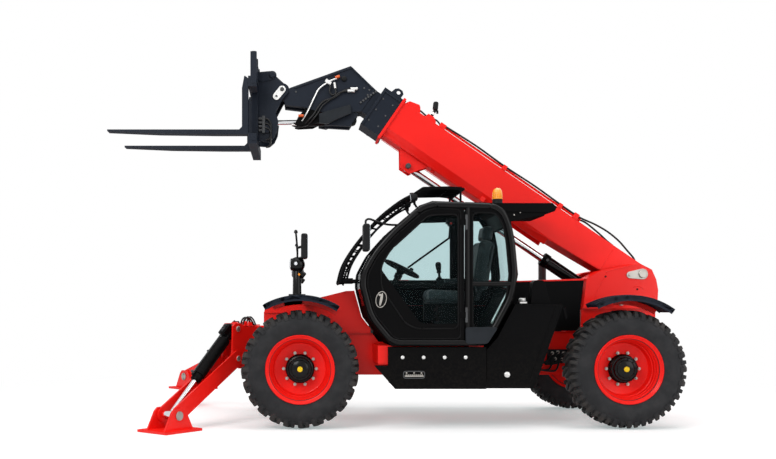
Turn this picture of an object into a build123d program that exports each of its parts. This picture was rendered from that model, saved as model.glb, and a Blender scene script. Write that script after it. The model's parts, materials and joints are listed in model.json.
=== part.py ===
from build123d import *
import math
import os

os.makedirs("parts", exist_ok=True)

# ---------------------------------------------------------------- driving dimensions, mm and degrees
# The frame is +X forward, +Y to the machine's left, +Z up, with Z = 0 on the ground.
front_axle_x = 945
wheelbase = 3300
axle_height = 600
tyre_radius = 600
tyre_width = 400
tread_width = 270
wheel_plane_y = 970
kingpin_y = 800
rim_seat_radius = 305
rim_flange_radius = 350
rim_wall = 14
hub_radius = 145
spindle_radius = 70
kingpin_radius = 28
frame_half_width = 390
rail_thickness = 90
rail_top = 950
rail_bottom = 500
axle_seat_height = 740
cheek_inner_y = 205
cheek_outer_y = 450
boom_angle = 34.4
boom_half_width = 170
boom_wall = 15
inner_half_width = 130
inner_top = 87
inner_bottom = -197
boom_pivot_height = 1587
boom_pin_radius = 45
head_half_width = 140
coupler_gap = 8
coupler_plate = 30
cylinder_pin_radius = 35
lift_barrel_radius = 68
lift_rod_radius = 40
tilt_barrel_radius = 50
tilt_rod_radius = 28
fork_spread = 500
fork_width = 130
fork_thickness = 50
fork_length = 1497.3
hitch_ahead = 267.5     # from the coupler's pin to the back of the fork carriage
carriage_depth = 91
heel_drop = 566         # from the coupler's pin down to the forks' underside
cab_floor = 841
cab_inner_y = 250
cab_outer_y = 1150
cab_wall = 40
cab_rim = 50
door_gap = 5
glass_thickness = 6
pod_outer_y = 1120
pod_wall = 15
fender_radius = 745
fender_thickness = 35
fender_width = 350
leg_angle = 50
leg_pivot_height = 690
leg_run = 860
leg_drop = 530
leg_depth = 170
leg_plate = 20
leg_half_gap = 88
far_leg_raise = 13
nose_front = 390        # ahead of the front axle
nose_back = 170
mount_reach = 600       # how far a stabilizer mount runs in from the leg's pivot
boom_slot = 195         # half the space that the lowered boom needs between the mounts
hinge_radius = 8
ear_half_gap = 55
ear_plate = 25
leg_pin_radius = 30
foot_pin_radius = 28
stab_barrel_radius = 48
stab_rod_radius = 26
pad_length = 480
pad_width = 420
pad_plate = 25

# clearances
seat_gap = 0.3          # between fixed pieces that seat on each other
pin_gap = 0.05          # radial, in every bore round a pin
slide_gap = 0.5         # between the boom sections at the wear pads

# ---------------------------------------------------------------- places that follow
rear_axle_x = front_axle_x - wheelbase
axles = {"front": front_axle_x, "rear": rear_axle_x}
sides = {"left": 1, "right": -1}
boom_pivot = (rear_axle_x - 380, boom_pivot_height)
boom_cos = math.cos(math.radians(boom_angle))
boom_sin = math.sin(math.radians(boom_angle))
lift_base = (rear_axle_x - 150, 1280)
lift_lug = (2730, -400)                  # along and above the boom, from its pivot
tilt_base = (3530, -320)
collar = (3190, 3430)                    # along the boom
inner_end = 3500
coupler_pin = (4354, -498)
tilt_lug = (4252, -835)


def side_plane(y):
    """A sketch plane seen from the left: local x is +X, local y is +Z, extrudes towards -Y."""
    return Plane((0, y, 0), x_dir=(1, 0, 0), z_dir=(0, -1, 0))


def boom_plane(y):
    """The same, with local x along the boom and its origin on the boom's pivot."""
    x, z = boom_pivot
    return Plane((x, y, z), x_dir=(boom_cos, 0, boom_sin), z_dir=(0, -1, 0))


def boom_point(along, above):
    """A point given along and above the boom, as X, Z."""
    x = boom_pivot[0] + along * boom_cos - above * boom_sin
    z = boom_pivot[1] + along * boom_sin + above * boom_cos
    return (x, z)


def from_front(points):
    """Points given as distance ahead of the front axle and height."""
    return [(front_axle_x + x, z) for x, z in points]


def from_rear(points):
    """Points given as distance ahead of the rear axle and height."""
    return [(rear_axle_x + x, z) for x, z in points]


def slab(points, plane, depth, mode=Mode.ADD):
    """Add or cut a plate of the given outline, from its plane towards -Y."""
    with BuildSketch(plane) as face:
        with BuildLine():
            Polyline(*points, close=True)
        make_face()
    extrude(face.sketch, amount=depth, mode=mode)


def side_slab(points, y_high, y_low, mode=Mode.ADD):
    slab(points, side_plane(y_high), y_high - y_low, mode)


def boom_slab(points, half_width, mode=Mode.ADD):
    slab(points, boom_plane(half_width), 2 * half_width, mode)


def twin_slabs(points, y_outer, y_inner, make=side_plane, mode=Mode.ADD):
    """The same plate on both sides of the middle plane."""
    slab(points, make(y_outer), y_outer - y_inner, mode)
    slab(points, make(-y_inner), y_outer - y_inner, mode)


def disc(plane, radius, depth, mode=Mode.ADD):
    with BuildSketch(plane) as face:
        Circle(radius)
    extrude(face.sketch, amount=depth, mode=mode)


def cross_pin(x, z, radius, y_high, y_low, mode=Mode.ADD):
    """A round pin or bore across the machine."""
    plane = Plane((x, y_high, z), x_dir=(1, 0, 0), z_dir=(0, -1, 0))
    disc(plane, radius, y_high - y_low, mode)


def rod_between(start, end, radius, mode=Mode.ADD):
    """A round bar between two points given as X, Y, Z."""
    reach = Vector(*end) - Vector(*start)
    disc(Plane(start, z_dir=reach), radius, reach.length, mode)


def block(x_low, x_high, y_low, y_high, z_low, z_high, mode=Mode.ADD):
    with BuildSketch(Plane.XY.offset(z_low)) as face:
        with Locations(((x_low + x_high) / 2, (y_low + y_high) / 2)):
            Rectangle(x_high - x_low, y_high - y_low)
    extrude(face.sketch, amount=z_high - z_low, mode=mode)


def save(piece, name):
    piece.part.label = name
    export_step(piece.part, "parts/" + name + ".step")


# ---------------------------------------------------------------- wheels, knuckles and axles
def wheel_plane(x, side, lateral):
    """Across the wheel: lateral is outward from the wheel's middle plane."""
    return Plane((x, side * (wheel_plane_y + lateral), axle_height), x_dir=(1, 0, 0), z_dir=(0, side, 0))


def revolve_about_wheel(x, side, profile):
    """Turn a profile of (radius, outward from the wheel's middle plane) about the wheel's axis."""
    wheel_centre = (x, side * wheel_plane_y, axle_height)
    with BuildSketch(Plane(wheel_centre, x_dir=(0, 0, 1), z_dir=(side, 0, 0))) as section:
        with BuildLine():
            Polyline(*[(radius, -out) for radius, out in profile], close=True)
        make_face()
    revolve(section.sketch, axis=Axis(wheel_centre, (0, 1, 0)))


half_tyre = tyre_width / 2
half_tread = tread_width / 2
bead_half_width = half_tyre - 32
groove_radius = tyre_radius - 38
lugs_around = 24
sector = math.pi / lugs_around          # a lug, or the groove between two
to_corner = 1 / math.cos(sector / 2)    # from a facet's middle to its corner
lug_inner_end = 14
# out from the tyre's middle, radius in a groove, radius on a lug, lean in sectors
stations = [
    (bead_half_width, rim_seat_radius, rim_seat_radius, 0),
    (bead_half_width, rim_flange_radius, rim_flange_radius, 0),
    (half_tyre, tyre_radius - 105, tyre_radius - 105, 0), (half_tread + 5, groove_radius, tyre_radius, 0),
    (lug_inner_end, groove_radius, tyre_radius, 1.0),
]


def lugged_tyre(axle_x, side):
    """A tyre of flat facets, its lugs leaning back from either shoulder and alternating across the middle."""
    def spot(half, station, step, on_lug):
        out, groove, lug, lean = stations[station]
        angle = (step + lean + 0.5) * sector
        radius = to_corner * (lug if on_lug else groove)
        return Vector(axle_x + radius * math.cos(angle), side * (wheel_plane_y + half * out),
                      axle_height + radius * math.sin(angle))

    def skin(*corners):
        faces.append(Face(Wire.make_polygon(corners, close=True)))

    faces = []
    last = len(stations) - 1
    for step in range(2 * lugs_around):
        after = step + 1
        for half in (1, -1):
            on_lug = (step % 2 == 0) == (half == 1)
            for near in range(last):
                p, q = spot(half, near, step, on_lug), spot(half, near, after, on_lug)
                r, t = spot(half, near + 1, after, on_lug), spot(half, near + 1, step, on_lug)
                if stations[near][3] == stations[near + 1][3]:
                    skin(p, q, r, t)
                else:
                    skin(p, q, r)
                    skin(p, r, t)
            low = [spot(half, station, step, False) for station in (last - 1, last)]
            high = [spot(half, station, step, True) for station in (last - 1, last)]
            skin(spot(half, last - 2, step, True), high[0], low[0])
            skin(low[0], high[0], high[1])
            skin(low[0], high[1], low[1])
            if on_lug:
                skin(high[1], spot(half, last, after, True), spot(half, last, after, False), low[1])
        for station in (0, last):
            across = ((1, step), (1, after), (-1, after), (-1, step))
            skin(*[spot(half, station, at, False) for half, at in across])
    return Solid(Shell(faces))


rim_outer = rim_seat_radius - seat_gap
rim_edge = bead_half_width + seat_gap
disc_out = -60
disc_thickness = 25
rim_profile = [
    (hub_radius - 20, disc_out), (rim_outer - rim_wall, disc_out), (rim_outer - rim_wall, -rim_edge - 12),
    (rim_flange_radius, -rim_edge - 12), (rim_flange_radius, -rim_edge), (rim_outer, -rim_edge),
    (rim_outer, rim_edge), (rim_flange_radius, rim_edge), (rim_flange_radius, rim_edge + 12),
    (rim_outer - rim_wall, rim_edge + 12), (rim_outer - rim_wall, disc_out + disc_thickness),
    (hub_radius - 20, disc_out + disc_thickness),
]
hub_reach = 60          # how far the hub stands outward of the wheel's middle plane
spindle_end = -15
flange_in = -110

for axle_name, axle_x in axles.items():
    for side_name, side in sides.items():
        place = axle_name + "_" + side_name
        with BuildPart() as tyre:
            add(lugged_tyre(axle_x, side))
        save(tyre, "tyre_" + place)

        with BuildPart() as rim:
            revolve_about_wheel(axle_x, side, rim_profile)
            disc(wheel_plane(axle_x, side, disc_out), hub_radius, hub_reach - disc_out)
            disc(wheel_plane(axle_x, side, hub_reach), hub_radius * 0.72, 25)
            disc(wheel_plane(axle_x, side, disc_out), spindle_radius + pin_gap,
                 spindle_end + 5 - disc_out, mode=Mode.SUBTRACT)
        save(rim, "rim_" + place)

        kingpin = (axle_x, side * kingpin_y)
        with BuildPart() as knuckle:
            with BuildSketch(Plane.XY.offset(axle_height - 105)) as body:
                with Locations(kingpin):
                    Circle(75)
            extrude(body.sketch, amount=210)
            with BuildSketch(Plane.XY.offset(axle_height - 168)) as pins:
                with Locations(kingpin):
                    Circle(kingpin_radius)
            extrude(pins.sketch, amount=336)
            kingpin_lateral = kingpin_y - wheel_plane_y
            disc(wheel_plane(axle_x, side, kingpin_lateral), spindle_radius, spindle_end - kingpin_lateral)
            disc(wheel_plane(axle_x, side, flange_in), 118, disc_out - 5 - flange_in)
        save(knuckle, "knuckle_" + place)

yoke_inner_y = kingpin_y - 180
ear_low = 112
ear_high = 160
for axle_name, axle_x in axles.items():
    inward = -1 if axle_name == "front" else 1      # towards the middle of the machine
    with BuildPart() as axle:
        rod_between((axle_x, -yoke_inner_y - 20, axle_height), (axle_x, yoke_inner_y + 20, axle_height), 80)
        rod_between((axle_x - 150, 0, axle_height), (axle_x + 150, 0, axle_height), 165)
        rod_between((axle_x, 0, axle_height), (axle_x + inward * 230, 0, axle_height), 60)
        for side in sides.values():
            y_in, y_out = side * yoke_inner_y, side * kingpin_y
            block(axle_x - 60, axle_x + 60, min(y_in, y_in + side * 60), max(y_in, y_in + side * 60),
                  axle_height - ear_high, axle_height + ear_high)
            for z_low in (ear_low, -ear_high):
                block(axle_x - 60, axle_x + 60, min(y_in, y_out), max(y_in, y_out),
                      axle_height + z_low, axle_height + z_low + ear_high - ear_low)
                with BuildSketch(Plane.XY.offset(axle_height + z_low)) as ear_end:
                    with Locations((axle_x, y_out)):
                        Circle(60)
                extrude(ear_end.sketch, amount=ear_high - ear_low)
            with BuildSketch(Plane.XY.offset(axle_height - ear_high - 5)) as bore:
                with Locations((axle_x, y_out)):
                    Circle(kingpin_radius + pin_gap)
            extrude(bore.sketch, amount=2 * ear_high + 10, mode=Mode.SUBTRACT)
            seat_mid = side * (frame_half_width - rail_thickness / 2)
            block(axle_x - 110, axle_x + 110, seat_mid - rail_thickness / 2, seat_mid + rail_thickness / 2,
                  axle_height + 40, axle_seat_height)
        rod_between((axle_x - inward * 140, -460, axle_height), (axle_x - inward * 140, 460, axle_height), 34)
        block(axle_x - 170, axle_x + 170, -70, 70, axle_height - 60, axle_height + 60)
    save(axle, "axle_" + axle_name)

# ---------------------------------------------------------------- frame, with the stabilizer brackets
leg_cos = math.cos(math.radians(leg_angle))
leg_sin = math.sin(math.radians(leg_angle))
leg_pivot = (front_axle_x + 735, 600)
top_mount = (-30, 310)                   # the cylinder's upper pin, out and up from the leg's pivot


def leg_plane(side, sideways):
    """Upright plane of a leg: local x runs outward along the leg, local y is +Z."""
    normal = (leg_sin * side, -leg_cos, 0)
    x, y = leg_pivot[0] + normal[0] * sideways, side * leg_pivot[1] + normal[1] * sideways
    return Plane((x, y, leg_pivot_height), x_dir=(leg_cos, leg_sin * side, 0), z_dir=normal)


def leg_slab(points, side, sideways, depth, mode=Mode.ADD):
    slab(points, leg_plane(side, sideways), depth, mode)


def leg_disc(out, up, radius, side, sideways, depth, mode=Mode.ADD):
    with BuildSketch(leg_plane(side, sideways)) as face:
        with Locations((out, up)):
            Circle(radius)
    extrude(face.sketch, amount=depth, mode=mode)


rail_front = nose_back - seat_gap
tail = 580              # behind the rear axle
rail_outline = from_front([
    (rail_front, axle_seat_height), (-200, axle_seat_height), (-340, rail_bottom),
]) + from_rear([
    (340, rail_bottom), (200, axle_seat_height), (-200, axle_seat_height), (-300, 600), (-tail, 600),
    (-tail, rail_top),
]) + from_front([
    (-2100, rail_top), (-1990, cab_floor - 11), (-870, cab_floor - 11), (-780, rail_top),
    (rail_front, rail_top),
])
nose_outline = from_front([
    (nose_front, 560), (nose_front, 1180), (nose_back, 1200), (nose_back, axle_seat_height), (280, 560),
])
wing_outline = from_front([
    (rail_front, rail_top + seat_gap), (rail_front, 1200), (-196, 1330), (-498, 1405), (-585, 1408),
    (-665, 1123), (-760, 1000), (-760, rail_top + seat_gap),
])
ear_outline = [
    (-mount_reach, -110), (-60, -110), (50, -60), (72, 0), (50, 70), (40, 340), (10, 370), (-70, 370),
    (-140, 330), (-mount_reach, 330),
]
web_outline = [(-mount_reach, -110), (-260, -110), (-260, 330), (-mount_reach, 330)]
wing_outer_y = frame_half_width + 30
bracket_spots = {"front": front_axle_x - 860, "middle": front_axle_x - 1780}

with BuildPart() as chassis:
    twin_slabs(rail_outline, frame_half_width, frame_half_width - rail_thickness)
    block(rear_axle_x - tail, rear_axle_x - tail + 160, -310, 310, 600, rail_top)
    for x in (front_axle_x - 500, front_axle_x - 1700, rear_axle_x + 420):
        block(x - 60, x + 60, -310, 310, 560, cab_floor - 40)
    block(rear_axle_x + 340, front_axle_x - 340, -310, 310, rail_bottom, rail_bottom + 20)
    for x in bracket_spots.values():
        block(x - 74, x + 74, frame_half_width - 5, 1075, 650, cab_floor - seat_gap)
save(chassis, "chassis_frame")

with BuildPart() as nose:
    twin_slabs(nose_outline, wing_outer_y, 250)
    block(front_axle_x + nose_back, front_axle_x + nose_front, -260, 260, axle_seat_height, 850)
save(nose, "frame_nose")

with BuildPart() as wings:
    twin_slabs(wing_outline, wing_outer_y, frame_half_width - rail_thickness)
save(wings, "frame_wings")

for side_name, side in sides.items():
    with BuildPart() as mount:
        for sideways in (-ear_half_gap - ear_plate, ear_half_gap):
            leg_slab(ear_outline, side, sideways, ear_plate)
        leg_slab(web_outline, side, -ear_half_gap - 1, 2 * ear_half_gap + 2)
        reach = leg_half_gap + leg_plate + 6
        leg_disc(0, 0, leg_pin_radius, side, -reach, 2 * reach)
        leg_disc(top_mount[0], top_mount[1], 24, side, -ear_half_gap - ear_plate,
                 2 * (ear_half_gap + ear_plate))
        weld_face = front_axle_x + nose_front + seat_gap
        block(weld_face - 600, weld_face, -1000, 1000, 500, 1200, mode=Mode.SUBTRACT)
        block(weld_face - 5, weld_face + 600, -boom_slot, boom_slot, 500, 1200, mode=Mode.SUBTRACT)
    save(mount, "stabilizer_mount_" + side_name)

jaw_back = rear_axle_x - tail - seat_gap
jaw_reach = 60
with BuildPart() as jaw:
    block(jaw_back - 12, jaw_back, -90, 90, 640, 785)
    for z_low in (640, 760):
        block(jaw_back - jaw_reach, jaw_back, -90, 90, z_low, z_low + 25)
    with BuildSketch(Plane.XY.offset(630)) as tow_bore:
        with Locations((rear_axle_x - 612, 0)):
            Circle(16)
    extrude(tow_bore.sketch, amount=170, mode=Mode.SUBTRACT)
save(jaw, "tow_jaw")

# ---------------------------------------------------------------- rear tower that carries the boom
tower_outline = from_rear([(260, rail_top), (260, 1200)]) + [
    (boom_pivot[0] + x, boom_pivot[1] + z) for x, z in (
        (597, -47), (446, 35), (35, 118), (-103, 48), (-151, -61), (-171, -171), (-164, -309))
] + from_rear([(-540, rail_top)])
tower_skirt = from_rear([(300, rail_top), (300, 1215), (-600, 1215), (-600, rail_top)])
with BuildPart() as tower:
    twin_slabs(tower_outline, cheek_outer_y, cheek_inner_y)
    twin_slabs(tower_skirt, cheek_outer_y + 5, frame_half_width, mode=Mode.SUBTRACT)
    block(rear_axle_x - 540, rear_axle_x - 500, -cheek_inner_y - 5, cheek_inner_y + 5, rail_top, 1270)
    cross_pin(boom_pivot[0], boom_pivot[1], boom_pin_radius, cheek_inner_y + 5, -cheek_inner_y - 5)
    cross_pin(lift_base[0], lift_base[1], cylinder_pin_radius, cheek_inner_y + 5, -cheek_inner_y - 5)
save(tower, "rear_tower")

# ---------------------------------------------------------------- boom
outer_bottom = -280
outer_top = 148
pad_housing = 185
flange = 30
boom_outline = [
    (-150, -110), (360, -165), (1290, -228), (2200, outer_bottom), (collar[0] - 1, outer_bottom),
    (collar[0] - 1, outer_top), (-130, outer_top), (-190, 80), (-190, -60),
]
cavity_outline = [
    (620, -165), (1290, -228 + boom_wall), (2200, outer_bottom + boom_wall),
    (collar[0] - flange, outer_bottom + boom_wall), (collar[0] - flange, outer_top - boom_wall),
    (620, outer_top - boom_wall),
]
flange_outline = [
    (collar[0] - flange, -343), (collar[0], -343), (collar[0], 181), (collar[0] - flange, 181),
]
collar_start = collar[0] + seat_gap
collar_outline = [(collar_start, -322), (collar[1], -322), (collar[1], 160), (collar_start, 160)]
mouth_outline = [
    (collar[0] - flange - 10, inner_bottom - slide_gap), (collar[1] + 5, inner_bottom - slide_gap),
    (collar[1] + 5, inner_top + slide_gap), (collar[0] - flange - 10, inner_top + slide_gap),
]
eye_plate = [(collar_start + along, above) for along, above in (
    (30, 150), (30, 215), (60, 240), (110, 240), (140, 215), (160, 150))]
lift_lug_outline = [
    (lift_lug[0] - 190, outer_bottom + 5), (lift_lug[0] - 60, lift_lug[1] - 60),
    (lift_lug[0] + 60, lift_lug[1] - 60), (lift_lug[0] + 190, outer_bottom + 5),
]
lug_inner_y = 58
chamfer_rise = 90       # the folded lower corners, up the side and in along the bottom
chamfer_in = 55


def folded_corners(along_low, along_high, half_width, bottom, spare, mode):
    """Wedges along both lower corners of the boom, a little proud of them by spare."""
    far = boom_point(along_high, 0)
    across = Plane((far[0], 0, far[1]), x_dir=(0, 1, 0), z_dir=(-boom_cos, 0, -boom_sin))
    for side in sides.values():
        wedge = [(side * (half_width + spare), bottom - spare),
                 (side * (half_width + spare), bottom + chamfer_rise),
                 (side * half_width, bottom + chamfer_rise), (side * (half_width - chamfer_in), bottom),
                 (side * (half_width - chamfer_in), bottom - spare)]
        slab([(y, -v) for y, v in wedge], across, along_high - along_low, mode)


with BuildPart() as boom_outer:
    boom_slab(boom_outline, boom_half_width)
    boom_slab(cavity_outline, boom_half_width - boom_wall, mode=Mode.SUBTRACT)
    folded_corners(1000, collar[0] - 5, boom_half_width - boom_wall, outer_bottom + boom_wall, 3, Mode.ADD)
    folded_corners(-300, collar[0] + 50, boom_half_width, outer_bottom, 60, Mode.SUBTRACT)
    boom_slab(flange_outline, boom_half_width + 25)
    boom_slab(mouth_outline, inner_half_width + slide_gap, mode=Mode.SUBTRACT)
    twin_slabs(lift_lug_outline, lug_inner_y + 25, lug_inner_y, make=boom_plane)
    cross_pin(boom_pivot[0], boom_pivot[1], 105, cheek_inner_y - seat_gap, -cheek_inner_y + seat_gap)
    cross_pin(boom_pivot[0], boom_pivot[1], boom_pin_radius + pin_gap, cheek_inner_y, -cheek_inner_y,
              mode=Mode.SUBTRACT)
save(boom_outer, "boom_outer")

with BuildPart() as boom_collar:
    boom_slab(collar_outline, pad_housing)
    boom_slab(mouth_outline, inner_half_width + slide_gap, mode=Mode.SUBTRACT)
    twin_slabs(eye_plate, pad_housing - 20, pad_housing - 45, make=boom_plane)
    cross_pin(*boom_point(collar_start + 85, 200), 22, pad_housing, -pad_housing, mode=Mode.SUBTRACT)
save(boom_collar, "boom_collar")

inner_outline = [
    (750, -150), (1400, inner_bottom), (inner_end, inner_bottom), (inner_end, inner_top), (750, inner_top),
]
inner_bore = [(745, -130), (1400, inner_bottom + 14), (inner_end - 60, inner_bottom + 14),
              (inner_end - 60, inner_top - 14), (745, inner_top - 14)]
with BuildPart() as boom_inner:
    boom_slab(inner_outline, inner_half_width)
    boom_slab(inner_bore, inner_half_width - 14, mode=Mode.SUBTRACT)
save(boom_inner, "boom_inner")

head_outline = [
    (inner_end, inner_top), (3881, 149), (4299, -430), (4330, -520), (4241, -619), (4052, -520),
    (3885, -468), (3574, -260), (inner_end, inner_bottom),
]
tilt_well = [(3440, -240), (3560, -230), (4241, -560), (4241, -900), (3440, -900)]
tilt_lugs = [(3515, -232), (3856, -380), (3752, -546), (3510, -400)]
tilt_well_half = 60
with BuildPart() as boom_head:
    boom_slab(head_outline, head_half_width)
    cross_pin(*boom_point(*coupler_pin), 76, head_half_width, -head_half_width)
    boom_slab(tilt_well, tilt_well_half, mode=Mode.SUBTRACT)
    twin_slabs(tilt_lugs, head_half_width - 20, tilt_well_half, make=boom_plane)
    cross_pin(*boom_point(*tilt_base), cylinder_pin_radius - 7, tilt_well_half + 10, -tilt_well_half - 10)
    coupler_outer = head_half_width + coupler_gap + coupler_plate
    cross_pin(*boom_point(*coupler_pin), cylinder_pin_radius, coupler_outer + 6, -coupler_outer - 6)
save(boom_head, "boom_head")

# ---------------------------------------------------------------- coupler, carriage and forks
coupler_x, coupler_z = boom_point(*coupler_pin)


def about_coupler(points):
    """Points given ahead of and above the coupler's pin."""
    return [(coupler_x + x, coupler_z + z) for x, z in points]


coupler_outline = about_coupler([
    (hitch_ahead, 190), (133, 202), (66, 140), (-51, 34), (-64, -36), (-4, -106), (76, -256), (46, -346),
    (59, -458), (96, -536), (150, -583), (hitch_ahead, -574),
])
tilt_eye = boom_point(*tilt_lug)
carriage_back = coupler_x + hitch_ahead
carriage_front = carriage_back + carriage_depth
with BuildPart() as coupler:
    coupler_inner = head_half_width + coupler_gap
    twin_slabs(coupler_outline, coupler_inner + coupler_plate, coupler_inner)
    cross_pin(*boom_point(*coupler_pin), cylinder_pin_radius + pin_gap, 300, -300, mode=Mode.SUBTRACT)
    cross_pin(coupler_x + 112, coupler_z + 154, 32, coupler_inner + 2, -coupler_inner - 2)
    block(carriage_back - 40, carriage_back, -coupler_inner - 2, coupler_inner + 2, coupler_z - 516,
          coupler_z + 144)
    for y_high in (coupler_inner + 2, -60):
        cross_pin(tilt_eye[0], tilt_eye[1], cylinder_pin_radius - 7, y_high, y_high - coupler_inner + 58)
save(coupler, "coupler")

bar_half = 570
upright_inner = (180, 260)
with BuildPart() as carriage:
    for z_low, z_high in ((-666, -556), (-56, 54)):
        block(carriage_back, carriage_front, -bar_half, bar_half, coupler_z + z_low, coupler_z + z_high)
    block(carriage_back + 10, carriage_front - 40, -bar_half, bar_half, coupler_z + 269, coupler_z + 317)
    for side in sides.values():
        y_low, y_high = sorted((side * upright_inner[0], side * upright_inner[1]))
        block(carriage_back, carriage_front - 25, y_low, y_high, coupler_z - 561, coupler_z + 314)
        y_low, y_high = sorted((side * (bar_half - 60), side * bar_half))
        block(carriage_back, carriage_front - 25, y_low, y_high, coupler_z - 36, coupler_z + 314)
    for y in (-385, 0, 385):
        block(carriage_back + 15, carriage_front - 45, y - 14, y + 14, coupler_z + 49, coupler_z + 274)
save(carriage, "carriage")

fork_heel = coupler_z - heel_drop
fork_top = fork_heel + fork_thickness
fork_back = carriage_front + seat_gap
fork_tip = fork_back + fork_length
shank = 65
shank_top = fork_heel + 620
fork_outline = [
    (fork_back, fork_heel), (fork_back, shank_top - 25), (fork_back + 30, shank_top),
    (fork_back + shank - 25, shank_top), (fork_back + shank, shank_top - 130),
    (fork_back + shank, fork_top + 30), (fork_back + shank + 30, fork_top), (fork_tip, fork_top),
    (fork_tip, fork_heel + 32), (fork_tip - 550, fork_heel + 8), (fork_back + 350, fork_heel),
]
with BuildPart() as forks:
    for y in (fork_spread, -fork_spread):
        side_slab(fork_outline, y + fork_width / 2, y - fork_width / 2)
save(forks, "forks")

# ---------------------------------------------------------------- cylinders of the boom
def along(start, end, distance):
    reach = (Vector(*end) - Vector(*start)).normalized()
    return tuple(Vector(*start) + reach * distance)


def barrel(base, eye, radius, length, eye_radius, half_width, pin_radius):
    """A barrel with its eye at base, lying towards eye. The rod's bore is open at its mouth."""
    rod_between(along(base, eye, eye_radius * 0.5), along(base, eye, length), radius)
    cross_pin(base[0], base[2], eye_radius, half_width, -half_width)
    cross_pin(base[0], base[2], pin_radius + pin_gap, 2 * half_width, -2 * half_width, mode=Mode.SUBTRACT)


lift_foot = (lift_base[0], 0, lift_base[1])
lift_eye = (boom_point(*lift_lug)[0], 0, boom_point(*lift_lug)[1])
lift_barrel_length = 880
lift_rod_length = 2380
with BuildPart() as lift_barrel:
    barrel(lift_foot, lift_eye, lift_barrel_radius, lift_barrel_length, 72, 52, cylinder_pin_radius)
    rod_between(along(lift_foot, lift_eye, 110), along(lift_foot, lift_eye, lift_barrel_length + 5),
                lift_rod_radius + slide_gap, mode=Mode.SUBTRACT)
save(lift_barrel, "lift_barrel")
lift_length = (Vector(*lift_eye) - Vector(*lift_foot)).length
with BuildPart() as lift_rod:
    rod_between(along(lift_foot, lift_eye, lift_length - lift_rod_length),
                along(lift_foot, lift_eye, lift_length - 20), lift_rod_radius)
    cross_pin(lift_eye[0], lift_eye[2], 50, 50, -50)
    cross_pin(lift_eye[0], lift_eye[2], cylinder_pin_radius - 7, 60, -60, mode=Mode.SUBTRACT)
save(lift_rod, "lift_rod")

tilt_foot = (boom_point(*tilt_base)[0], 0, boom_point(*tilt_base)[1])
tilt_end = (tilt_eye[0], 0, tilt_eye[1])
tilt_barrel_length = 530
tilt_length = (Vector(*tilt_end) - Vector(*tilt_foot)).length
tilt_rod_length = 600
with BuildPart() as tilt_barrel:
    barrel(tilt_foot, tilt_end, tilt_barrel_radius, tilt_barrel_length, 47, 44, cylinder_pin_radius - 7)
    rod_between(along(tilt_foot, tilt_end, 60), along(tilt_foot, tilt_end, tilt_barrel_length + 5),
                tilt_rod_radius + slide_gap, mode=Mode.SUBTRACT)
save(tilt_barrel, "tilt_barrel")
with BuildPart() as tilt_rod:
    rod_between(along(tilt_foot, tilt_end, tilt_length - tilt_rod_length),
                along(tilt_foot, tilt_end, tilt_length - 20), tilt_rod_radius)
    cross_pin(tilt_end[0], tilt_end[2], 44, 48, -48)
    cross_pin(tilt_end[0], tilt_end[2], cylinder_pin_radius - 7, 60, -60, mode=Mode.SUBTRACT)
save(tilt_rod, "tilt_rod")

# ---------------------------------------------------------------- stabilizers
leg_length = math.hypot(leg_run, leg_drop)
leg_slope = {"left": -math.degrees(math.atan2(leg_drop, leg_run))}
leg_slope["right"] = leg_slope["left"] + far_leg_raise


def leg_frame(side, slope, sideways):
    """The leg's plane turned so that local x runs from its pivot to its foot."""
    level = leg_plane(side, sideways)
    run, rise = math.cos(math.radians(slope)), math.sin(math.radians(slope))
    return Plane(level.origin, x_dir=level.x_dir * run + Vector(0, 0, rise), z_dir=level.z_dir)


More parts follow.
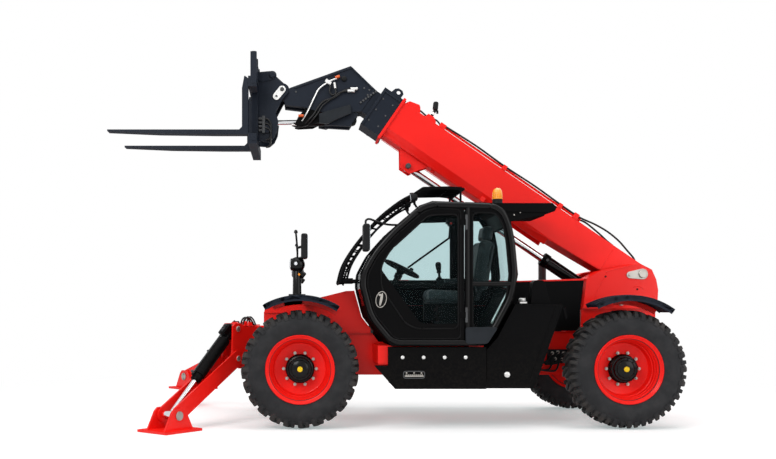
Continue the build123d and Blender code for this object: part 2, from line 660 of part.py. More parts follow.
stab_barrel_length = 745
stab_rod_length = 740
pad_height = leg_pivot_height - leg_drop
for side_name, side in sides.items():
    slope = leg_slope[side_name]
    foot = (leg_length * math.cos(math.radians(slope)), leg_length * math.sin(math.radians(slope)))
    inner, outer = leg_half_gap, leg_half_gap + leg_plate
    with BuildPart() as leg:
        for sideways in (inner, -outer):
            with BuildSketch(leg_frame(side, slope, sideways)) as plate:
                with Locations((leg_length / 2, 0)):
                    Rectangle(leg_length, leg_depth - 10)
                Circle(leg_depth / 2 - 5)
                with Locations((leg_length, 0)):
                    Circle(leg_depth / 2 - 12)
                Circle(leg_pin_radius + pin_gap, mode=Mode.SUBTRACT)
            extrude(plate.sketch, amount=leg_plate)
        web = [(190, -leg_depth / 2 + 5), (leg_length - 280, -leg_depth / 2 + 5),
               (leg_length - 280, -leg_depth / 2 + 25), (190, -leg_depth / 2 + 25)]
        slab(web, leg_frame(side, slope, -inner - 1), 2 * inner + 2)
        for sideways in (inner - 34, -outer - 28):
            with BuildSketch(leg_frame(side, slope, sideways)) as stub:
                with Locations((leg_length, 0)):
                    Circle(foot_pin_radius)
            extrude(stub.sketch, amount=leg_plate + 62)
    save(leg, "stabilizer_leg_" + side_name)

    with BuildPart() as pad:
        base = foot[1] - pad_height
        leg_slab([(foot[0] - pad_length / 2, base), (foot[0] + pad_length / 2, base),
                  (foot[0] + pad_length / 2, base + pad_plate), (foot[0] - pad_length / 2, base + pad_plate)],
                 side, -pad_width / 2, pad_width)
        for sideways in (outer + 6, -outer - 26):
            leg_slab([(foot[0] - 190, base + 20), (foot[0] + 190, base + 20), (foot[0] + 95, base + 200),
                      (foot[0] + 55, base + 235), (foot[0] - 55, base + 235), (foot[0] - 95, base + 200)],
                     side, sideways, 20)
        leg_disc(foot[0], foot[1], foot_pin_radius + pin_gap, side, -300, 600, mode=Mode.SUBTRACT)
    save(pad, "stabilizer_pad_" + side_name)

    frame = leg_plane(side, 0)
    stab_top = tuple(frame.from_local_coords(Vector(top_mount[0], top_mount[1], 0)))
    stab_eye = tuple(frame.from_local_coords(Vector(foot[0], foot[1], 0)))
    stab_length = (Vector(*stab_eye) - Vector(*stab_top)).length
    with BuildPart() as stab_barrel:
        rod_between(along(stab_top, stab_eye, 20), along(stab_top, stab_eye, stab_barrel_length),
                    stab_barrel_radius)
        leg_disc(top_mount[0], top_mount[1], 46, side, -42, 84)
        leg_disc(top_mount[0], top_mount[1], 24 + pin_gap, side, -60, 120, mode=Mode.SUBTRACT)
        rod_between(along(stab_top, stab_eye, 60), along(stab_top, stab_eye, stab_barrel_length + 5),
                    stab_rod_radius + slide_gap, mode=Mode.SUBTRACT)
    save(stab_barrel, "stabilizer_barrel_" + side_name)
    with BuildPart() as stab_rod:
        rod_between(along(stab_top, stab_eye, stab_length - stab_rod_length),
                    along(stab_top, stab_eye, stab_length - 20), stab_rod_radius)
        leg_disc(foot[0], foot[1], 44, side, -45, 90)
        leg_disc(foot[0], foot[1], foot_pin_radius, side, -60, 120, mode=Mode.SUBTRACT)
    save(stab_rod, "stabilizer_rod_" + side_name)

# ---------------------------------------------------------------- cab
cab_outline = from_front([
    (-914, cab_floor), (-684, 1123), (-601, 1442), (-613, 1583), (-722, 1787), (-914, 2005), (-1195, 2247),
    (-1323, 2292), (-1949, 2272), (-2051, 2209), (-2114, 2082), (-2153, 1889), (-2184, 1557), (-2140, 1314),
    (-1962, 983), (-1834, cab_floor),
])
post_x = front_axle_x - 1655
door_inner_y = cab_outer_y - cab_wall + seat_gap
windscreen_zone = from_front([
    (-480, 1240), (-760, 1240), (-800, 1560), (-1250, 2140), (-1150, 2330), (-400, 1800),
])
roof_zone = from_front([(-1370, 2400), (-1370, 2180), (-1880, 2180), (-1880, 2400)])
rear_zone = from_front([(-2300, 1380), (-2020, 1380), (-2020, 2040), (-2300, 2040)])
side_window = from_front([
    (-1640, 1015), (-1180, 1010), (-1060, 1060), (-815, 1420), (-812, 1640), (-905, 1800), (-1290, 2150),
    (-1640, 2160),
])
door_window = from_front([
    (-1585, 1015), (-1180, 1010), (-1060, 1060), (-815, 1420), (-812, 1640), (-905, 1800), (-1290, 2150),
    (-1585, 2158),
])
quarter_window = from_front([
    (-1730, 1020), (-1930, 1030), (-2070, 1350), (-2095, 1560), (-2065, 1890), (-2030, 2060), (-1960, 2170),
    (-1730, 2175),
])
pane_inset = 12
glass_gap = 0.5


def outline_ring(outer_inset, inner_inset):
    """The cab's outline between two insets, as a sketch seen from the left at the given plane."""
    with BuildSketch(side_plane(cab_outer_y - 60)) as ring:
        with BuildLine():
            Polyline(*cab_outline, close=True)
        make_face()
        offset(amount=-outer_inset)
    with BuildSketch(side_plane(cab_outer_y - 60)) as core:
        with BuildLine():
            Polyline(*cab_outline, close=True)
        make_face()
        offset(amount=-inner_inset)
    return ring.sketch - core.sketch


window_low_y = cab_inner_y + 60
window_high_y = cab_outer_y - 60 - 40
with BuildPart() as cab:
    with BuildSketch(side_plane(cab_outer_y)) as shell:
        with BuildLine():
            Polyline(*cab_outline, close=True)
        make_face()
    extrude(shell.sketch, amount=cab_outer_y - cab_inner_y)
    with BuildSketch(side_plane(cab_outer_y - cab_wall)) as room:
        with BuildLine():
            Polyline(*cab_outline, close=True)
        make_face()
        offset(amount=-cab_rim)
    extrude(room.sketch, amount=cab_outer_y - cab_inner_y - 2 * cab_wall, mode=Mode.SUBTRACT)
    # the door's opening, and the rebate that the door closes into
    block(post_x, front_axle_x - 500, cab_outer_y - cab_wall, cab_outer_y + 5, 800, 2400, mode=Mode.SUBTRACT)
    with BuildSketch(side_plane(cab_outer_y)) as doorway:
        with BuildLine():
            Polyline(*cab_outline, close=True)
        make_face()
        offset(amount=-cab_rim - 10)
        with Locations((post_x - 500, 1500)):
            Rectangle(1000, 2000, mode=Mode.SUBTRACT)
    extrude(doorway.sketch, amount=cab_wall + 20, mode=Mode.SUBTRACT)
    side_slab(quarter_window, cab_outer_y + 5, cab_outer_y - cab_wall - 5, mode=Mode.SUBTRACT)
    side_slab(side_window, cab_inner_y + cab_wall + 5, cab_inner_y - 5, mode=Mode.SUBTRACT)
    side_slab(quarter_window, cab_inner_y + cab_wall + 5, cab_inner_y - 5, mode=Mode.SUBTRACT)
    for zone in (windscreen_zone, roof_zone, rear_zone):
        side_slab(zone, window_high_y, window_low_y, mode=Mode.SUBTRACT)
    # the roof's rear shelf
    side_slab(from_front([(-1960, 2200), (-1960, 2285), (-2560, 2285), (-2610, 2240), (-2520, 2190)]),
              cab_outer_y - 120, cab_inner_y + 60)
save(cab, "cab_frame")

with BuildPart() as cab_glass:
    for zone in (windscreen_zone, roof_zone, rear_zone):
        with BuildSketch(side_plane(window_high_y - glass_gap)) as pane:
            add(outline_ring(pane_inset, pane_inset + glass_thickness).faces())
            with BuildSketch(side_plane(window_high_y - glass_gap), mode=Mode.PRIVATE) as opening:
                with BuildLine():
                    Polyline(*zone, close=True)
                make_face()
                offset(amount=-glass_gap)
            add(opening.sketch, mode=Mode.INTERSECT)
        extrude(pane.sketch, amount=window_high_y - window_low_y - 2 * glass_gap)
    for window, y_high in ((quarter_window, cab_outer_y - 14), (quarter_window, cab_inner_y + 20),
                           (side_window, cab_inner_y + 20)):
        with BuildSketch(side_plane(y_high)) as side_pane:
            with BuildLine():
                Polyline(*window, close=True)
            make_face()
            offset(amount=-glass_gap)
        extrude(side_pane.sketch, amount=glass_thickness)
save(cab_glass, "cab_glass")

with BuildPart() as door:
    with BuildSketch(side_plane(cab_outer_y)) as leaf:
        with BuildLine():
            Polyline(*cab_outline, close=True)
        make_face()
        with Locations((post_x + 10 - 1000, 1500)):
            Rectangle(2000, 2000, mode=Mode.SUBTRACT)
    extrude(leaf.sketch, amount=cab_outer_y - door_inner_y)
    side_slab(door_window, cab_outer_y + 5, door_inner_y - 5, mode=Mode.SUBTRACT)
    hinge_y = cab_outer_y + hinge_radius + seat_gap
    for z in (1120, 2050):
        rod_between((post_x + 2, hinge_y, z), (post_x + 2, hinge_y, z + 60), hinge_radius)
        block(post_x + 12, post_x + 60, cab_outer_y - 2, hinge_y, z, z + 60)
        block(post_x + 2, post_x + 12, cab_outer_y + 2, hinge_y, z, z + 60)
save(door, "cab_door")

with BuildPart() as door_glass:
    with BuildSketch(side_plane(cab_outer_y - 14)) as door_pane:
        with BuildLine():
            Polyline(*door_window, close=True)
        make_face()
        offset(amount=-glass_gap)
    extrude(door_pane.sketch, amount=glass_thickness)
save(door_glass, "door_glass")

guard_line = from_front([
    (-410, 1481), (-452, 1642), (-530, 1790), (-665, 1975), (-826, 2146), (-1010, 2290), (-1140, 2362),
    (-1250, 2435), (-1519, 2440), (-1660, 2425),
])
guard_bar = 30
guard_bars = 6
guard_low_y = cab_inner_y + 70
guard_high_y = cab_outer_y - 130
with BuildPart() as guard:
    for i in range(guard_bars):
        y = guard_low_y + (guard_high_y - guard_low_y) * i / (guard_bars - 1)
        with BuildSketch(side_plane(y + 7)) as bar:
            with BuildLine():
                FilletPolyline(*guard_line, radius=40)
            trace(line_width=guard_bar)
        extrude(bar.sketch, amount=14)
    for x, z in (guard_line[0], guard_line[3], guard_line[6], guard_line[8], guard_line[9]):
        cross_pin(x, z, 13, guard_high_y + 7, guard_low_y - 7)
    for y in (guard_low_y, guard_high_y):
        for start, end in (((-395, 1500), (-604, 1500)), ((-1120, 2350), (-1185, 2241)),
                           ((-1630, 2430), (-1630, 2284))):
            (x_a, z_a), (x_b, z_b) = from_front([start, end])
            rod_between((x_a, y, z_a), (x_b, y, z_b), 11)
save(guard, "roof_guard")

seat_y = (cab_inner_y + cab_outer_y) / 2
floor_top = cab_floor + cab_rim + seat_gap
with BuildPart() as seat:
    side_slab(from_front([(-1440, floor_top), (-1460, 1270), (-1300, 1290), (-1290, 1380), (-1760, 1400),
                          (-1870, 1900), (-1880, 2080), (-1940, 2080), (-2010, 1900), (-1930, 1330),
                          (-1800, 1270), (-1780, floor_top)]), seat_y + 230, seat_y - 230)
save(seat, "seat")

wheel_centre = (front_axle_x - 1062, seat_y, 1620)
with BuildPart() as column:
    side_slab(from_front([(-955, floor_top), (-865, 1010), (-790, 1180), (-800, 1300), (-930, 1340),
                          (-985, 1180), (-1060, floor_top)]), seat_y + 160, seat_y - 160)
    rod_between((front_axle_x - 880, seat_y, 1250), wheel_centre, 28)
    steer_plane = Plane(wheel_centre, z_dir=(-0.45, 0, 0.89))
    with BuildSketch(steer_plane) as hoop:
        Circle(190)
        Circle(165, mode=Mode.SUBTRACT)
        Rectangle(345, 26)
        Circle(45)
    extrude(hoop.sketch, amount=24)
save(column, "steering_column")

# ---------------------------------------------------------------- body pieces
with BuildPart() as tank:
    side_slab(from_front([(-2170, 1263)]) + from_rear([(660, 1250), (950, 410)])
              + from_front([(-1881, 410), (-1881, 800), (-1990, 920)]), 1100, frame_half_width)
save(tank, "fuel_tank")

with BuildPart() as step_box:
    side_slab(from_front([(-886, 405), (-886, 828), (-1873, 828), (-1873, 405)]), 1120, 1075 + seat_gap)
    side_slab(from_front([(-940, 430), (-940, 640), (-1830, 640), (-1830, 430)]), 1080, frame_half_width + 160)
save(step_box, "side_panel")

pod_x = (rear_axle_x + 680, front_axle_x - 850)
pod_z = (550, 1250)
hood_top = 1540
with BuildPart() as pod:
    block(pod_x[0], pod_x[1], -pod_outer_y, -frame_half_width, pod_z[0], pod_z[1])
    block(pod_x[0] + pod_wall, pod_x[1] - pod_wall, -pod_outer_y + pod_wall, -frame_half_width - pod_wall,
          pod_z[0] + pod_wall, pod_z[1] + 5, mode=Mode.SUBTRACT)
    side_slab(from_rear([(680, 1230), (680, hood_top), (60, hood_top), (60, 1230)]),
              -cheek_outer_y - seat_gap, -820)
    side_slab(from_rear([(660, 1245), (660, hood_top - pod_wall), (60 + pod_wall, hood_top - pod_wall),
                         (60 + pod_wall, 1245)]),
              -cheek_outer_y - pod_wall, -820 + pod_wall, mode=Mode.SUBTRACT)
save(pod, "engine_pod")

with BuildPart() as engine:
    block(rear_axle_x + 1000, front_axle_x - 1200, -1020, -480, pod_z[0] + pod_wall, 1180)
save(engine, "engine_block")

hood_profile = [(-frame_half_width, pod_z[1] + seat_gap), (-frame_half_width, hood_top), (-780, 1530),
                (-pod_outer_y, 1340), (-pod_outer_y, pod_z[1] + seat_gap)]
hood_room = [(-frame_half_width - 25, pod_z[1] - 5), (-frame_half_width - 25, 1520), (-770, 1508),
             (-pod_outer_y + 25, 1325), (-pod_outer_y + 25, pod_z[1] - 5)]
with BuildPart() as hood:
    for profile, x_high, depth, mode in (
            (hood_profile, pod_x[1], pod_x[1] - pod_x[0] - door_gap, Mode.ADD),
            (hood_room, pod_x[1] - 25, pod_x[1] - pod_x[0] - door_gap - 50, Mode.SUBTRACT)):
        with BuildSketch(Plane((x_high, 0, 0), x_dir=(0, 1, 0), z_dir=(1, 0, 0))) as section:
            with BuildLine():
                Polyline(*profile, close=True)
            make_face()
        extrude(section.sketch, amount=-depth, mode=mode)
    for x in (pod_x[0] + 300, pod_x[1] - 420):
        rod_between((x, -frame_half_width - 2, hood_top + 2), (x + 120, -frame_half_width - 2, hood_top + 2),
                    hinge_radius)
save(hood, "engine_hood")

fender_spans = {"front": (60, 122), "rear": (62, 126)}
arm_top = axle_height + fender_radius - fender_thickness + 10
with BuildPart() as fenders:
    for axle_name, (start, end) in fender_spans.items():
        for side in sides.values():
            y_high = 850 + fender_width if side > 0 else -850
            plane = Plane((axles[axle_name], y_high, axle_height), x_dir=(1, 0, 0), z_dir=(0, -1, 0))
            with BuildSketch(plane) as arch:
                with BuildLine():
                    CenterArc((0, 0), fender_radius, start, end - start)
                    CenterArc((0, 0), fender_radius - fender_thickness, start, end - start)
                    for angle in (start, end):
                        rim_in = Vector(fender_radius - fender_thickness, 0).rotate(Axis.Z, angle)
                        rim_out = Vector(fender_radius, 0).rotate(Axis.Z, angle)
                        Line(rim_in, rim_out)
                make_face()
            extrude(arch.sketch, amount=fender_width)
            arm_x = axles[axle_name] + (-90 if axle_name == "front" else 0)
            arm_in = wing_outer_y if axle_name == "front" else cheek_outer_y
            y_low, y_high = sorted((side * arm_in, side * 860))
            block(arm_x - 60, arm_x + 60, y_low, y_high, arm_top - 50, arm_top)
save(fenders, "fenders")

with BuildPart() as lamps:
    for side in sides.values():
        y = side * 1000
        x, z = front_axle_x + 30, axle_height + fender_radius
        rod_between((x, y, z), (x, y, 1600), 22)
        rod_between((x - 45, y, 1660), (x + 45, y, 1660), 68)
        rod_between((x, y, 1590), (x, y, 1640), 30)
        rod_between((x, y, 1640), (x - 60, y, 2000), 11)
        y_low, y_high = sorted((y - 85, y + 85))
        block(x - 120, x - 66, y_low, y_high, 1720, 1970)
        rod_between((x - 100, y, 1990), (x - 50, y, 1990), 11)
        rod_between((x - 95, y, 1960), (x - 95, y, 1995), 11)
    y = cab_outer_y - 90
    block(front_axle_x - 705, front_axle_x - 655, y - 20, y + 150, 1810, 2080)
    rod_between((front_axle_x - 680, y, 2060), (front_axle_x - 963, y, 2060), 12)
save(lamps, "lamps_mirrors")

with BuildPart() as beacon:
    rod_between((front_axle_x - 2070, 700, 2285.3), (front_axle_x - 2070, 700, 2350), 58)
    rod_between((front_axle_x - 2070, 700, 2345), (front_axle_x - 2070, 700, 2465), 60)
    rod_between((front_axle_x - 2070, 700, 2460), (front_axle_x - 2070, 700, 2483), 45)
save(beacon, "beacon")
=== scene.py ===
# %% [markdown]
# # Dressing a telescopic handler
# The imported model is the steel: every node in it is already the right size and rides on
# the right body. This script adds what is too fine or too soft for that model - tread,
# nuts, hoses, seals, lamps, cushions - and gives every surface a finish made of nodes.
# It could also be done by hand in the viewport, but a script repeats exactly.

# %% Load the frame
import json
import math
import bmesh
import bpy
from mathutils import Matrix, Vector


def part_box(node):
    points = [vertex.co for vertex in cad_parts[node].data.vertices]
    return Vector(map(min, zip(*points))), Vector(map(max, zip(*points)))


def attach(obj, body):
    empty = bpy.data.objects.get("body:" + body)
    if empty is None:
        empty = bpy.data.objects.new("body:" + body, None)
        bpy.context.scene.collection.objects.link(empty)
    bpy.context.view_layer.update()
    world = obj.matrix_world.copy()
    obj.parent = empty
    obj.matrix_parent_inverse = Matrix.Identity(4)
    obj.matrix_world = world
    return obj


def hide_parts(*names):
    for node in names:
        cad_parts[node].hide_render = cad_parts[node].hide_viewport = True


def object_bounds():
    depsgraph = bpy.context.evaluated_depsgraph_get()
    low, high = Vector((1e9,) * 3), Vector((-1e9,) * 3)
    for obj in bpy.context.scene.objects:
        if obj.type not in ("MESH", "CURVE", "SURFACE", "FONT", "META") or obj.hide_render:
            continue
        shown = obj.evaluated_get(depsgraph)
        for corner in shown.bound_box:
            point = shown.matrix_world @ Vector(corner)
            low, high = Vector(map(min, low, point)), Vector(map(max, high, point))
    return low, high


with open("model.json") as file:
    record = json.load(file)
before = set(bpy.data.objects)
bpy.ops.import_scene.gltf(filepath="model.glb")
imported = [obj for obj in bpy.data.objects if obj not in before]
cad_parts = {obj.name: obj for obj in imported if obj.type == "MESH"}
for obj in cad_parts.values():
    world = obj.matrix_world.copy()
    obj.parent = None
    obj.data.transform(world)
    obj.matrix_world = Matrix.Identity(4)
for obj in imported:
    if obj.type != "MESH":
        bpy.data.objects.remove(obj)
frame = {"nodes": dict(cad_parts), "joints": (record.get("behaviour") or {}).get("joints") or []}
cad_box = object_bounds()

joints = {j["name"]: j for j in frame["joints"]}

# %% [markdown]
# Places come from the frame. A node's box gives wheel centres and faces, and a joint's
# anchor gives pins, so nothing here has to be fitted by eye when the steel changes.

# %% Places on the machine
def middle(node):
    low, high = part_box(node)
    return (low + high) / 2


def pin_of(joint):
    return Vector(joints[joint]["pos_m"])


front_x = middle("tyre_front_left").x
rear_x = middle("tyre_rear_left").x
axle_z = middle("tyre_front_left").z
boom_pin = pin_of("boom_lift")
boom_way = Vector(joints["telescope"]["axis"]).normalized()
boom_up = Vector((-boom_way.z, 0, boom_way.x))
sides = {"left": 1, "right": -1}
print("front axle", round(front_x, 3), "rear axle", round(rear_x, 3), "boom way", boom_way)


def on_boom(along, above, y=0.0):
    """A point given along and above the boom from its pin, in metres."""
    return Vector((boom_pin.x, y, boom_pin.z)) + boom_way * along + boom_up * above


def ahead(x, y, z):
    """A point given ahead of the front axle."""
    return Vector((front_x + x, y, z))


def face_start(side, face, thick):
    """Where a plate starts along Y when it lies outside a face on the left or the right."""
    return side * face if side > 0 else side * face - thick


boom_turn = Matrix((boom_way, (0, 1, 0), boom_up)).transposed()


# %% [markdown]
# ## Camera, light and floor
# The machine is shown square from its left side at about hub height, a little ahead of
# its middle. A longer lens from further away would flatten it: 44 mm from under eleven
# metres keeps the underside of the raised boom in sight. The shift frames the raised
# forks without tilting the camera, so uprights stay upright.

# %% Camera
camera_data = bpy.data.cameras.new("camera")
camera_data.lens = 44.1
camera_height, camera_away = 1.2, 10.67
camera_data.sensor_width = 36
camera_data.shift_x = 0.1134
camera_data.shift_y = 0.1037
camera = bpy.data.objects.new("camera", camera_data)
camera.location = (front_x, camera_away, camera_height)
camera.rotation_euler = (math.radians(90), 0, math.radians(180))
bpy.context.scene.collection.objects.link(camera)
bpy.context.scene.camera = camera
bpy.context.scene.view_settings.view_transform = "Standard"
print("camera at", tuple(camera.location))

# %% [markdown]
# Shader maths reads best as plain expressions. A small class wraps a socket, so that
# `1 - mask * 0.3` adds the Math nodes for it. Any other node comes from one method that
# takes its type, its settings, and the values or links of its sockets.

# %% Shader expressions
class Wire:
    """A socket that Python's operators work on."""

    def __init__(self, finish, socket):
        self.finish, self.socket = finish, socket

    def maths(self, operation, first, second=0.0):
        made = self.finish.node("ShaderNodeMath", {"operation": operation}, {0: first, 1: second})
        return made["Value"]

    def __add__(self, other): return self.maths("ADD", self, other)
    def __radd__(self, other): return self.maths("ADD", other, self)
    def __sub__(self, other): return self.maths("SUBTRACT", self, other)
    def __rsub__(self, other): return self.maths("SUBTRACT", other, self)
    def __mul__(self, other): return self.maths("MULTIPLY", self, other)
    def __rmul__(self, other): return self.maths("MULTIPLY", other, self)
    def __truediv__(self, other): return self.maths("DIVIDE", self, other)
    def __pow__(self, other): return self.maths("POWER", self, other)
    def high(self, other): return self.maths("MAXIMUM", self, other)
    def low(self, other): return self.maths("MINIMUM", self, other)
    def step(self, low, high, start=0.0, end=1.0):
        """Goes from start to end while this goes from low to high."""
        made = self.finish.node("ShaderNodeMapRange", {"clamp": True, "interpolation_type": "SMOOTHSTEP"},
                                {"Value": self, "From Min": low, "From Max": high,
                                 "To Min": start, "To Max": end})
        return made["Result"]


class Made:
    """A new node whose outputs are read by name or number."""

    def __init__(self, finish, node):
        self.finish, self.inner = finish, node

    def __getitem__(self, name):
        return Wire(self.finish, self.inner.outputs[name])


class Finish:
    """One material and the nodes that make it."""

    def __init__(self, name):
        self.material = bpy.data.materials.new(name)
        self.material.use_nodes = True
        self.tree = self.material.node_tree
        self.tree.nodes.clear()

    def node(self, kind, settings=None, sockets=None):
        made = self.tree.nodes.new(kind)
        for key, value in (settings or {}).items():
            setattr(made, key, value)
        for key, value in (sockets or {}).items():
            if isinstance(value, Wire):
                self.tree.links.new(value.socket, made.inputs[key])
            else:
                made.inputs[key].default_value = value
        return Made(self, made)

    def where(self, move=(0, 0, 0), scale=(1, 1, 1)):
        spot = self.node("ShaderNodeTexCoord")["Object"]
        if tuple(move) == (0, 0, 0) and tuple(scale) == (1, 1, 1):
            return spot
        return self.node("ShaderNodeMapping", {},
                         {"Vector": spot, "Location": move, "Scale": scale})["Vector"]

    def noise(self, scale, detail=3.0, rough=0.5, where=None):
        return self.node("ShaderNodeTexNoise", {}, {
            "Vector": where or self.where(), "Scale": scale, "Detail": detail, "Roughness": rough})["Fac"]

    def mix(self, first, second, share):
        """Two colours, and how much there is of the second."""
        sockets = {0: share, 6: first, 7: second}
        return self.node("ShaderNodeMix", {"data_type": "RGBA"}, sockets)[2]

    def bump(self, height, strength=0.2, distance=0.001, normal=None):
        sockets = {"Height": height, "Strength": strength, "Distance": distance}
        if normal:
            sockets["Normal"] = normal
        return self.node("ShaderNodeBump", {}, sockets)["Normal"]

    def height(self):
        """Height above the ground, for dust that settles low on the machine."""
        return self.node("ShaderNodeSeparateXYZ", {}, {0: self.where()})["Z"]

    def surface(self, **sockets):
        named = {key.replace("_", " "): value for key, value in sockets.items()}
        shader = self.node("ShaderNodeBsdfPrincipled", {}, named)
        self.node("ShaderNodeOutputMaterial", {}, {"Surface": shader["BSDF"]})
        return self.material


def colour(red, green, blue):
    """A colour as it is mixed on a screen, 0 to 255, turned to the light it stands for."""
    def light(part):
        part /= 255
        return part / 12.92 if part <= 0.04045 else ((part + 0.055) / 1.055) ** 2.4
    return (light(red), light(green), light(blue), 1.0)


print("shader tools ready")

# %% [markdown]
# The floor has to vanish into white and still hold a soft shadow. Its surface is plain
# white paint with a little glow that only the camera, mirrors and glass see, so no extra
# light reaches the machine from it. Four square lamps light the machine evenly.

# %% World, lamps and floor
def seen(finish):
    """One for rays from the camera, mirrors and glass, and nought for light."""
    path = finish.node("ShaderNodeLightPath")
    return path["Is Camera Ray"].high(path["Is Glossy Ray"]).high(path["Is Transmission Ray"])


world = bpy.data.worlds.new("studio")
world.use_nodes = True
bpy.context.scene.world = world
sky = Finish.__new__(Finish)
sky.tree = world.node_tree
sky.tree.nodes.clear()
background = sky.node("ShaderNodeBackground", {}, {
    "Color": (1, 1, 1, 1), "Strength": seen(sky) * 0.6 + 0.4})
sky.node("ShaderNodeOutputWorld", {}, {"Surface": background["Background"]})

floor_finish = Finish("floor_white")
paint = floor_finish.node("ShaderNodeBsdfDiffuse", {}, {"Color": (0.85, 0.8, 0.8, 1)})
glow = floor_finish.node("ShaderNodeEmission", {}, {
    "Color": (0.88, 1, 1, 1), "Strength": seen(floor_finish) * 0.38})
both = floor_finish.node("ShaderNodeAddShader", {}, {0: paint["BSDF"], 1: glow["Emission"]})
white = floor_finish.node("ShaderNodeEmission", {}, {"Strength": 1.0})
spot = floor_finish.node("ShaderNodeSeparateXYZ", {}, {0: floor_finish.where()})
away = ((spot["X"] * spot["X"] + spot["Y"] * spot["Y"]) ** 0.5).step(3.8, 7.5) * seen(floor_finish)
faded = floor_finish.node("ShaderNodeMixShader", {}, {0: away, 1: both["Shader"], 2: white["Emission"]})
floor_finish.node("ShaderNodeOutputMaterial", {}, {"Surface": faded["Shader"]})
floor_mesh = bpy.data.meshes.new("floor")
floor_half = 60
floor_mesh.from_pydata([(x * floor_half, y * floor_half, 0) for x, y in ((-1, -1), (1, -1), (1, 1), (-1, 1))],
                       [], [(0, 1, 2, 3)])
floor_mesh.materials.append(floor_finish.material)
floor = bpy.data.objects.new("floor", floor_mesh)
floor.location.z = cad_box[0].z - 0.002
bpy.context.scene.collection.objects.link(floor)

lamps_wanted = {
    "key": ((5.5, 8.5, 7.5), (0, 0, 1.4), 5.0, 560),
    "fill": ((-7.5, 7.0, 4.0), (-0.5, 0, 1.2), 6.0, 240),
    "top": ((-0.5, 0.5, 9.0), (-0.5, 0, 0), 8.0, 360),
    "back": ((-3.0, -8.0, 5.0), (-0.5, 0, 1.2), 6.0, 260),
}
for name, (place, target, width, power) in lamps_wanted.items():
    lamp_data = bpy.data.lights.new(name, "AREA")
    lamp_data.shape, lamp_data.size, lamp_data.energy = "SQUARE", width, power
    lamp = bpy.data.objects.new(name, lamp_data)
    lamp.location = place
    lamp.rotation_euler = (Vector(target) - Vector(place)).to_track_quat("-Z", "Y").to_euler()
    bpy.context.scene.collection.objects.link(lamp)
print("lamps", sorted(lamps_wanted))

# %% [markdown]
# ## Finishes
# Sprayed machine paint is never one flat colour: it pools a little, collects dust low
# down and on top of ledges, and shows a darker or rubbed line along cut edges. The same
# recipe therefore serves red, black and blue-black paint, with its own colours, gloss
# and amount of dust. The Bevel node softens hard edges for the light without new faces.

# %% Paint
dust_colour = colour(150, 138, 122)


def machine_paint(name, base, deep, gloss, coat, dust, worn, shine):
    """Paint with a base colour, its deeper patches and the worn colour of edges. Undersides mix towards that
    same colour, which is painted shade under the red paints and a lighter tone under the dark ones.
    """
    finish = Finish(name)
    cloudy = finish.noise(1.7, 4.0, 0.6).step(0.3, 0.75)
    fine = finish.noise(46.0, 3.0, 0.6)
    grain = finish.noise(420.0, 2.0, 0.5)
    rounded = finish.node("ShaderNodeBevel", {"samples": 4}, {"Radius": 0.004})["Normal"]
    flat = finish.node("ShaderNodeNewGeometry")["Normal"]
    facing = finish.node("ShaderNodeVectorMath", {"operation": "DOT_PRODUCT"}, {0: rounded, 1: flat})["Value"]
    edge = facing.step(0.999, 0.93) * fine.step(0.42, 0.62)
    tilt = finish.node("ShaderNodeSeparateXYZ", {}, {0: flat})["Z"]
    upward, shaded_underside = tilt.step(0.55, 0.98), tilt.step(-0.45, -0.95)
    low_down = finish.height().step(1.25, 0.1)
    settled = (upward * 0.45 + low_down * 0.55) * fine.step(0.35, 0.75) * dust
    body = finish.mix(base, deep, cloudy * 0.5)
    body = finish.mix(body, worn, edge * 0.55)
    body = finish.mix(body, dust_colour, settled)
    # Painted shade: undersides go 35 % towards the worn colour, darker on the red paints and lighter on the
    # dark ones.
    body = finish.mix(body, worn, shaded_underside * 0.35)
    rough = fine * 0.08 + gloss + settled * 0.5 + edge * 0.12
    normal = finish.bump(grain * 0.3 + fine, 0.06, 0.0012, rounded)
    gloss_coat = (1 - settled) * (1 - shaded_underside) * coat
    paint = finish.node("ShaderNodeBsdfPrincipled", {}, {
        "Base Color": body, "Roughness": rough + shaded_underside * 0.2, "Normal": normal, "Metallic": 0.0,
        "Coat Weight": gloss_coat, "Coat Roughness": 0.12, "Specular IOR Level": shine})
    film = finish.node("ShaderNodeBsdfDiffuse", {}, {"Color": body})
    glancing = finish.node("ShaderNodeLayerWeight", {}, {"Blend": 0.5})["Facing"].step(0.55, 0.92, 0.0, 0.85)
    both = finish.node("ShaderNodeMixShader", {}, {0: glancing, 1: paint["BSDF"], 2: film["BSDF"]})
    finish.node("ShaderNodeOutputMaterial", {}, {"Surface": both["Shader"]})
    return finish.material


# The last colour of each paint is the worn colour of its edges. On undersides it is painted shade for the
# reds and a lighter tone for the dark paints.
red, rim_red, black, blue_black, black_gloss, axle_black = [
    machine_paint(name, colour(*base), colour(*deep), gloss, coat, dust, colour(*worn), shine)
    for name, base, deep, gloss, coat, dust, worn, shine in (
        ("red_gloss", (250, 30, 22), (236, 20, 14), 0.3, 0.15, 0.05, (180, 24, 18), 0.2),
        ("rim_red", (250, 24, 16), (232, 16, 12), 0.34, 0.1, 0.06, (170, 26, 20), 0.15),
        ("black_satin", (8, 8, 9), (4, 4, 5), 0.36, 0.0, 0.04, (30, 30, 31), 0.05),
        ("blue_black", (24, 31, 42), (17, 22, 31), 0.36, 0.0, 0.06, (78, 82, 88), 0.15),
        ("black_gloss", (8, 8, 9), (4, 4, 5), 0.2, 0.12, 0.01, (24, 24, 25), 0.12),
        ("axle_black", (18, 18, 19), (11, 11, 12), 0.5, 0.0, 0.4, (70, 66, 62), 0.12))]
print("paints made")

# %% [markdown]
# Iron, chrome, zinc and bright pin plates differ in how rough they are and in how the
# tool marks run. Chrome rods carry a thin film of oil, so their roughness wanders.

